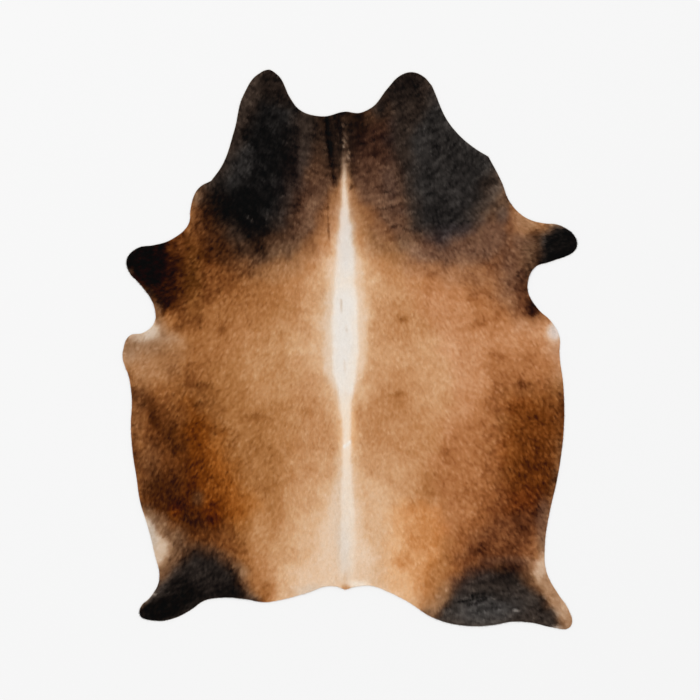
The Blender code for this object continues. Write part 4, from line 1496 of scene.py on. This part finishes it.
@dataclass
class HideSheet:
    """The leather of the rug with the dense roots of its hair, as one closed sheet."""

    form: HideForm  # outline and relief
    pattern: HidePattern  # natural colours
    # Distances from the cut edge of the hair side's two outer rings past the rounding
    ring_insets: tuple[float, float] = (0.0022, 0.0055)
    grid_step: float = 0.0078  # distance between points of the hair side
    grid_clear: float = 0.6  # distance that they keep from the last ring, as a share of their step
    crease_step: float = 0.0022  # distance between points along and across a crease
    crease_reach: float = 0.014  # how far from a crease the close points go
    # Distance that one crease's points keep from another's, as a share of their step
    crease_clear: float = 0.8
    flesh_step: float = 0.060  # distance between points of the flesh side
    flesh_clear: float = 0.5  # distance that they keep from the cut edge, as a share of their step
    round_over: float = 0.0005  # size of the rounding along the cut edge
    shade: float = 0.95  # painted shade under the hair: share of the hair's colour that its roots keep
    skirt: float = 1.5  # how far the cut edge is spread out on the map, as a share of its depth
    # Scale of the hair side and of the flesh side on the map, and where their middles lie on it
    hair_scale: float = 0.42
    hair_middle: tuple[float, float] = (0.40, 0.50)
    flesh_scale: float = 0.10
    flesh_middle: tuple[float, float] = (0.895, 0.50)
    mesh: bpy.types.Mesh = field(init=False)  # the finished sheet

    CHUNK = 500          # points that are measured against others at once
    CUT_WALLS = 3        # rows of faces from the floor to the hair side's first ring

    def _grid(self, clear: float) -> Points:
        """Points of the hair side inside its last ring.

        Args:
            clear: Distance that they keep from the cut edge.

        Returns:
            Rows of x, y.
        """
        reach = self.crease_reach
        routes = [np.array(crease.route, float) * MM for crease in CREASES]
        coarse = staggered(self.form.edge.min(axis=0), self.form.edge.max(axis=0), self.grid_step)
        coarse = coarse[self.form.depth_inside(coarse) > clear]
        crease_gap = np.min([route_distance(coarse, route)[0] for route in routes], axis=0)
        coarse = coarse[crease_gap > reach]
        fine = np.empty((0, 2))
        for route in routes:
            close = staggered(route.min(axis=0) - reach, route.max(axis=0) + reach, self.crease_step)
            close = close[route_distance(close, route)[0] < reach - self.crease_step]
            for start in range(0, len(fine), self.CHUNK):
                other = fine[start:start + self.CHUNK]
                gap = np.linalg.norm(close[:, None, :] - other[None, :, :], axis=2).min(axis=1)
                close = close[gap > self.crease_step * self.crease_clear]
            fine = np.concatenate([fine, close])
        fine = fine[self.form.depth_inside(fine) > clear]
        return np.concatenate([coarse, fine])

    def _ring(self, inset: float, height: float | None = None) -> np.ndarray:
        """A ring of points beside the cut edge.

        Args:
            inset: Distance from the cut edge.
            height: Height over the floor, or None for the hair side's own height.

        Returns:
            Rows of x, y, z.
        """
        flat = self.form.inset(inset)
        level = self.form.surface(flat) if height is None else np.full(len(flat), height)
        return np.column_stack([flat, level])

    def _walls(self, rings: int, count: int) -> list[tuple[int, ...]]:
        """Faces that join each ring to the next one.

        Args:
            rings: How many rings there are.
            count: Points in a ring.

        Returns:
            Four corners per face.
        """
        faces = []
        for base in range(0, (rings - 1) * count, count):
            for index in range(count):
                near, far = base + index, base + (index + 1) % count
                faces.append((near, far, far + count, near + count))
        return faces

    def build(self) -> bpy.types.Object:
        """Build, paint and dress the sheet.

        Returns:
            The hide's object.
        """
        form, bevel = self.form, self.round_over
        edge_sides = ((bevel, 0.0), (0.0, bevel), (0.0, form.leather_edge - bevel), (bevel, None))
        rings = [self._ring(inset, height) for inset, height in edge_sides]
        rings += [self._ring(inset) for inset in self.ring_insets]
        grid = self._grid(self.ring_insets[-1] + self.grid_clear * self.grid_step)
        flesh = staggered(form.edge.min(axis=0), form.edge.max(axis=0), self.flesh_step)
        flesh = flesh[form.depth_inside(flesh) > self.flesh_clear * self.flesh_step]
        places = np.concatenate([
            *rings,
            np.column_stack([grid, form.surface(grid)]),
            np.column_stack([flesh, np.zeros(len(flesh))]),
        ])
        count = len(form.edge)
        last = (len(rings) - 1) * count
        hair = triangulate(rings[-1][:, :2], grid) + last
        under = triangulate(rings[0][:, :2], flesh)
        under = np.where(under >= count, under + last + len(grid), under)
        faces = self._walls(len(rings), count) + [tuple(face) for face in hair.tolist()]
        faces += [tuple(reversed(face)) for face in under.tolist()]
        self.mesh = bpy.data.meshes.new("hide_leather")
        self.mesh.from_pydata(places.tolist(), [], faces)
        sides = np.full(len(faces), Side.HAIR.value, np.int32)
        sides[:self.CUT_WALLS * count] = Side.CUT.value
        sides[len(faces) - len(under):] = Side.FLESH.value
        self.mesh.polygons.foreach_set("material_index", sides)
        self.mesh.polygons.foreach_set("use_smooth", np.ones(len(faces), bool))
        self._map(sides)
        # the roots are painted a little darker than the hair: painted shade under the tufts over them
        paint(self.mesh, COAT_COLOUR, self.pattern.colours(places[:, :2]) * self.shade)
        for finish in (HairFinish("hair roots", by_map=False), CUT_LEATHER, FLESH_SIDE):
            self.mesh.materials.append(finish.material())
        return put("hide_sheet", self.mesh)

    def _map(self, sides: np.ndarray) -> None:
        """Lay the hair side and, beside it and smaller, the flesh side on the map.

        Args:
            sides: Which side each face belongs to.
        """
        places = vertex_places(self.mesh)
        flat = places[:, :2]
        drop = self.form.leather_edge - np.clip(places[:, 2], 0.0, self.form.leather_edge)
        away = flat / np.linalg.norm(flat, axis=1)[:, None]
        spread = flat + away * drop[:, None] * self.skirt
        corners = corner_vertices(self.mesh)
        totals = read(self.mesh.polygons, "loop_total", kind=np.int32)
        of_flesh = np.repeat(sides == Side.FLESH.value, totals)[:, None]
        hair_map = spread * self.hair_scale + np.array(self.hair_middle)
        flesh_map = flat * self.flesh_scale + np.array(self.flesh_middle)
        add_map(self.mesh, BAKE_MAP, np.where(of_flesh, flesh_map[corners], hair_map[corners]))


@dataclass(frozen=True)
class Tuft:
    """One tuft of hair: a narrow arched leaf that points along X from its root."""

    length: float = 0.013  # from root to tip
    width: float = 0.0017  # at its widest
    widest: float = 0.42  # share of its length where it is widest
    arch: float = 0.0006  # height of its middle over the line from root to tip

    CORNERS = 4          # root, the two sides where it is widest, and tip
    FACES = ((0, 1, 2), (2, 1, 3))

    def build(self) -> bpy.types.Object:
        """Build the tuft as an object that is not in the scene.

        Returns:
            The tuft.
        """
        half = self.width / 2.0
        middle = self.length * self.widest
        places = [(0, 0, 0), (middle, -half, self.arch), (middle, half, self.arch), (self.length, 0, 0)]
        mesh = bpy.data.meshes.new("tuft")
        mesh.from_pydata(places, [], self.FACES)
        mesh.polygons.foreach_set("use_smooth", np.ones(len(self.FACES), bool))
        strand_places = np.array([(0.5, 0.0), (0.0, self.widest), (1.0, self.widest), (0.5, 1.0)])
        add_map(mesh, STRAND_MAP, strand_places[corner_vertices(mesh)])
        return bpy.data.objects.new("tuft", mesh)


@dataclass(frozen=True)
class CoatSizes:
    """How thick, long and tidy the hair is."""

    tufts: int = 97000  # how many tufts a coat has
    shortest: float = 0.70  # least length, as a share of a tuft's
    longest: float = 1.15  # greatest length
    lift: float = 6.5  # mean rise over the hide, in degrees
    lift_spread: float = 4.0  # most that it differs
    splay: float = 16.0  # most that a tuft turns away from the lie, in degrees
    trim: float = 0.45  # share of its length that a tuft keeps at the cut edge
    trim_run: float = 0.020  # distance from the cut edge over which that eases out


class CoatTree:
    """Geometry nodes that stand tufts on a patch of hide, laid along its flow attribute."""

    # Attributes: which way the hair lies, the share of its length that a tuft keeps, and a tuft's root
    FLOW, REACH, ROOT = "flow", "reach", "root"
    # Names of the inputs, by their kind
    INPUTS = {
        "Geometry": ("Patch",),
        "Object": ("Tuft",),
        "Float": ("Tufts per square metre", "Shortest", "Longest", "Least lift", "Most lift", "Splay"),
        "Int": ("Seed",),
        "Material": ("Finish",),
    }

    def __init__(self) -> None:
        """Build the tree."""
        self.tree = bpy.data.node_groups.new("laid hair", "GeometryNodeTree")
        interface = self.tree.interface
        self.sockets = {
            name: interface.new_socket(name, in_out="INPUT", socket_type="NodeSocket" + kind).identifier
            for kind, names in self.INPUTS.items() for name in names
        }
        interface.new_socket("Hair", in_out="OUTPUT", socket_type="NodeSocketGeometry")
        self.given = self._add("NodeGroupInput").outputs
        self._add("NodeGroupOutput", {"Hair": self._dress(self._stand())})

    def _add(self, kind: str, feeds: Feeds = None, **settings: object) -> Node:
        """Add a node, as add_node does."""
        return add_node(self.tree, kind, feeds, **settings)

    def _sum(self, operation: str, first: object, second: object) -> Socket:
        """Output of a sum or product of two outputs or values."""
        return self._add("ShaderNodeMath", {0: first, 1: second}, operation=operation).outputs[0]

    def _named(self, name: str, kind: str) -> Socket:
        """Output of a node that reads a named attribute."""
        node = self._add("GeometryNodeInputNamedAttribute", {"Name": name}, data_type=kind)
        return node.outputs["Attribute"]

    def _random(self, low: Socket, high: Socket, salt: int) -> Socket:
        """Output of a random number between two sockets' values.

        Args:
            low: Least value.
            high: Greatest value.
            salt: Added to the coat's seed.

        Returns:
            The output.
        """
        seed = self._sum("ADD", self.given["Seed"], float(salt))
        least, most, drawn = 2, 3, 1      # sockets of the node's numbers, among those of its other kinds
        feeds = {least: low, most: high, "Seed": seed}
        return self._add("FunctionNodeRandomValue", feeds, data_type="FLOAT").outputs[drawn]

    def _stand(self) -> Socket:
        """Stand tufts on the patch, laid along the flow.

        Returns:
            The output of the tufts.
        """
        given = self.given
        scatter = self._add("GeometryNodeDistributePointsOnFaces", distribute_method="RANDOM", feeds={
            "Mesh": given["Patch"], "Density": given["Tufts per square metre"], "Seed": given["Seed"],
        }).outputs
        upright = self._add("FunctionNodeAlignRotationToVector", {"Vector": scatter["Normal"]}, axis="Z")
        laid = self._add("FunctionNodeAlignRotationToVector", axis="X", pivot_axis="Z", feeds={
            "Rotation": upright.outputs[0], "Vector": self._named(self.FLOW, "FLOAT_VECTOR"),
        })
        rise = self._sum("MULTIPLY", self._random(given["Least lift"], given["Most lift"], 1), -1.0)
        other_way = self._sum("MULTIPLY", given["Splay"], -1.0)
        turn = self._add("ShaderNodeCombineXYZ", {
            "Y": rise, "Z": self._random(other_way, given["Splay"], 2),
        })
        tilt = self._add("FunctionNodeRotateRotation", rotation_space="LOCAL", feeds={
            "Rotation": laid.outputs[0],
            "Rotate By": self._add("FunctionNodeEulerToRotation", {0: turn.outputs[0]}).outputs[0],
        })
        length = self._random(given["Shortest"], given["Longest"], 3)
        return self._add("GeometryNodeInstanceOnPoints", {
            "Points": scatter["Points"],
            "Instance": self._add("GeometryNodeObjectInfo", {"Object": given["Tuft"]}).outputs["Geometry"],
            "Rotation": tilt.outputs[0],
            "Scale": self._sum("MULTIPLY", length, self._named(self.REACH, "FLOAT")),
        }).outputs["Instances"]

    def _dress(self, tufts: Socket) -> Socket:
        """Note each tuft's root, turn the tufts into one mesh and give it its finish.

        Args:
            tufts: The output of the tufts.

        Returns:
            The output of the finished mesh.
        """
        root = self._add("GeometryNodeInputPosition").outputs[0]
        feeds = {"Name": self.ROOT, "Geometry": tufts}
        keep = self._add(
            "GeometryNodeStoreNamedAttribute", feeds, data_type="FLOAT_VECTOR", domain="INSTANCE"
        )
        self.tree.links.new(root, keep.inputs["Value"])
        real = self._add("GeometryNodeRealizeInstances", {"Geometry": keep.outputs["Geometry"]})
        return self._add("GeometryNodeSetMaterial", {
            "Geometry": real.outputs["Geometry"], "Material": self.given["Finish"],
        }).outputs["Geometry"]


@dataclass
class HairCoat:
    """The short hair that covers one part of the hide."""

    name: str  # name of the piece
    sheet: HideSheet  # the hide it grows on
    faces: np.ndarray  # numbers of the hide's faces that it covers
    seed: int  # seed of its random draws
    sizes: CoatSizes = CoatSizes()  # how thick, long and tidy it is
    tuft: Tuft = Tuft()  # shape of a tuft
    stray: float = 0.0012  # most that a tuft takes its colour from beside its own place
    strand_shift: float = 40.0  # most that a tuft's strands are moved on the strand map
    margin: float = 0.02  # edge left free on the bake map
    tuft_share: float = 0.2  # size of a tuft on the bake map, against the ground it stands on

    def _patch(self) -> bpy.types.Object:
        """Cut out the part of the hide that the coat grows on, and mark the lie of its hair.

        Returns:
            The patch's object.
        """
        shell = bmesh.new()
        shell.from_mesh(self.sheet.mesh)
        chosen = np.zeros(len(shell.faces), bool)
        chosen[self.faces] = True
        gone = [face for face, keep in zip(shell.faces, chosen.tolist()) if not keep]
        bmesh.ops.delete(shell, geom=gone, context="FACES")
        mesh = bpy.data.meshes.new(self.name + "_patch")
        shell.to_mesh(mesh)
        shell.free()
        places = vertex_places(mesh)[:, :2]
        flow = np.column_stack([self.sheet.pattern.hair.flow(places), np.zeros(len(places))])
        lie = mesh.attributes.new(CoatTree.FLOW, "FLOAT_VECTOR", "POINT")
        lie.data.foreach_set("vector", flow.astype(np.float32).ravel())
        trimmed = smoothstep(0.0, self.sizes.trim_run, self.sheet.form.depth_inside(places))
        reach = self.sizes.trim + (1.0 - self.sizes.trim) * trimmed
        share = mesh.attributes.new(CoatTree.REACH, "FLOAT", "POINT")
        share.data.foreach_set("value", reach.astype(np.float32))
        return put(self.name + "_patch", mesh)

    def build(self, tree: CoatTree, finish: bpy.types.Material) -> bpy.types.Object:
        """Grow the coat and paint it.

        Args:
            tree: The geometry nodes.
            finish: Material of the hair.

        Returns:
            The coat's object.
        """
        patch = self._patch()
        area = sum(face.area for face in patch.data.polygons)
        template = self.tuft.build()
        sizes = self.sizes
        modifier = patch.modifiers.new("hair", "NODES")
        modifier.node_group = tree.tree
        for name, value in (
            ("Tuft", template),
            ("Tufts per square metre", sizes.tufts / area),
            ("Shortest", sizes.shortest),
            ("Longest", sizes.longest),
            ("Least lift", math.radians(sizes.lift - sizes.lift_spread)),
            ("Most lift", math.radians(sizes.lift + sizes.lift_spread)),
            ("Splay", math.radians(sizes.splay)),
            ("Seed", self.seed),
            ("Finish", finish),
        ):
            modifier[tree.sockets[name]] = value
        bpy.context.view_layer.update()
        depsgraph = bpy.context.evaluated_depsgraph_get()
        mesh = bpy.data.meshes.new_from_object(patch.evaluated_get(depsgraph))
        patch.modifiers.remove(modifier)
        for leftover in (patch, template):
            data = leftover.data
            bpy.data.objects.remove(leftover)
            bpy.data.meshes.remove(data)
        mesh.name = self.name
        self._paint(mesh)
        return put(self.name, mesh)

    def _paint(self, mesh: bpy.types.Mesh) -> None:
        """Colour and map the tufts.

        Args:
            mesh: The coat's mesh.
        """
        each = Tuft.CORNERS
        roots = read(mesh.attributes[CoatTree.ROOT].data, "vector", width=3, kind=np.float32)
        roots = roots[::each, :2].astype(float)
        chance = np.random.default_rng(self.seed)
        aside = np.repeat(chance.uniform(-self.stray, self.stray, roots.shape), each, axis=0)
        fleck = np.repeat(chance.uniform(-1.0, 1.0, len(roots)), each)
        places = vertex_places(mesh)[:, :2]
        colours = self.sheet.pattern.colours(places + aside, fleck)
        for name in [attribute.name for attribute in mesh.attributes]:
            if name in (CoatTree.ROOT, CoatTree.FLOW, CoatTree.REACH):
                mesh.attributes.remove(mesh.attributes[name])
        paint(mesh, COAT_COLOUR, colours)
        corners = corner_vertices(mesh)
        shift = chance.uniform(0.0, self.strand_shift, (len(roots), 2))
        strand = read(mesh.uv_layers[STRAND_MAP].data, "uv", width=2, kind=np.float32)
        strand = strand + shift[corners // each]
        mesh.uv_layers[STRAND_MAP].data.foreach_set("uv", strand.astype(np.float32).ravel())
        low = roots.min(axis=0)
        span = (roots.max(axis=0) - low).max() * (1.0 + 2.0 * self.margin)
        root_rows = np.repeat(roots, each, axis=0)
        around = root_rows + (places - root_rows) * self.tuft_share
        add_map(mesh, BAKE_MAP, ((around - low) / span + self.margin)[corners])


@dataclass
class Coat:
    """The whole coat of hair, in parts of even size."""

    sheet: HideSheet  # the hide it grows on
    end_share: float = 0.25  # share of the coat in the rump's part, and in the neck's
    first_seed: int = 101  # seed of the first part's random draws
    seed_step: int = 10  # from one part's seed to the next

    def _parts(self) -> dict[str, np.ndarray]:
        """Share the hide's hair side out.

        Returns:
            Names of the coat's parts and the numbers of the hide's faces under each.
        """
        polygons = self.sheet.mesh.polygons
        centres = read(polygons, "center", width=3)
        areas = read(polygons, "area")
        hair = np.nonzero(read(polygons, "material_index", kind=np.int32) == Side.HAIR.value)[0]
        order = hair[np.argsort(centres[hair, 1])]
        share = np.cumsum(areas[order]) / areas[order].sum()
        of_rump, of_neck = share < self.end_share, share >= 1.0 - self.end_share
        trunk = order[~of_rump & ~of_neck]
        sideways = trunk[np.argsort(centres[trunk, 0])]
        of_left = np.cumsum(areas[sideways]) / areas[sideways].sum() < 0.5
        return {
            "hair_neck": order[of_neck],
            "hair_left_side": sideways[of_left],
            "hair_right_side": sideways[~of_left],
            "hair_rump": order[of_rump],
        }

    def build(self) -> list[bpy.types.Object]:
        """Build every part of the coat.

        Returns:
            The parts' objects.
        """
        tree = CoatTree()
        finish = HairFinish("laid hair").material()
        pieces = []
        for number, (name, faces) in enumerate(self._parts().items()):
            seed = self.first_seed + self.seed_step * number
            pieces.append(HairCoat(name, self.sheet, faces, seed).build(tree, finish))
        bpy.data.node_groups.remove(tree.tree)
        return pieces


@dataclass
class Studio:
    """Floor, light and camera."""

    view_width: float = 2.8024  # width of floor that the picture shows
    view_middle: tuple[float, float] = (0.0006, -0.0024)  # place on the floor at the middle of the picture
    lens: float = 110.0  # focal length, in millimetres
    sensor: float = 36.0  # width of the camera's sensor, in millimetres
    sight: float = 200.0  # how far the camera sees
    floor_size: float = 60.0  # side of the floor
    floor_drop: float = 0.0002  # how far the floor lies under the rug
    dome_level: float = 1.02  # strength of the even light from all round
    lamp_power: float = 7400.0  # power of the soft lamp, in watts
    lamp_size: float = 12.0  # side of the lamp
    lamp_place: tuple[float, float, float] = (-13.0, 16.0, 40.0)  # where the lamp hangs

    def build(self) -> None:
        """Set the studio up."""
        self._floor()
        self._light()
        self._camera()

    def _floor(self) -> None:
        """Lay the floor."""
        half = self.floor_size / 2.0
        mesh = bpy.data.meshes.new("floor")
        corners = [(-half, -half, 0), (half, -half, 0), (half, half, 0), (-half, half, 0)]
        mesh.from_pydata(corners, [], [(0, 1, 2, 3)])
        mesh.materials.append(FloorFinish().material())
        floor = put("floor", mesh)
        floor.location.z = -self.floor_drop

    def _light(self) -> None:
        """Hang the soft lamp in an even white surround."""
        world = bpy.data.worlds.new("studio")
        bpy.context.scene.world = world
        world.use_nodes = True
        surround = world.node_tree.nodes["Background"]
        surround.inputs["Color"].default_value = (1.0, 1.0, 1.0, 1.0)
        surround.inputs["Strength"].default_value = self.dome_level
        data = bpy.data.lights.new("soft lamp", "AREA")
        data.size = self.lamp_size
        data.energy = self.lamp_power
        lamp = put("soft lamp", data)
        lamp.location = self.lamp_place
        lamp.rotation_euler = (-Vector(self.lamp_place)).to_track_quat("-Z", "Y").to_euler()

    def _camera(self) -> None:
        """Hang the camera straight over the rug."""
        data = bpy.data.cameras.new("camera")
        data.lens = self.lens
        data.sensor_width = self.sensor
        data.clip_end = self.sight
        camera = put("camera", data)
        camera.location = (*self.view_middle, self.view_width * self.lens / self.sensor)
        bpy.context.scene.camera = camera
        bpy.context.scene.view_settings.view_transform = "Standard"


def main() -> None:
    """Build the dressed rug and its studio around the frame."""
    logging.basicConfig(level=logging.INFO, format="%(name)s: %(message)s")
    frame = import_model()
    form = HideForm(frame["nodes"]["hide"])
    Studio().build()
    sheet = HideSheet(form, HidePattern())
    hide = sheet.build()
    LOG.info("%s: %d faces", hide.name, len(hide.data.polygons))
    coats = Coat(sheet).build()
    for piece in (hide, *coats):
        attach(piece, "root")
    for piece in coats:
        LOG.info("%s: %d faces", piece.name, len(piece.data.polygons))
    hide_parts("hide")


if __name__ == "__main__":
    main()
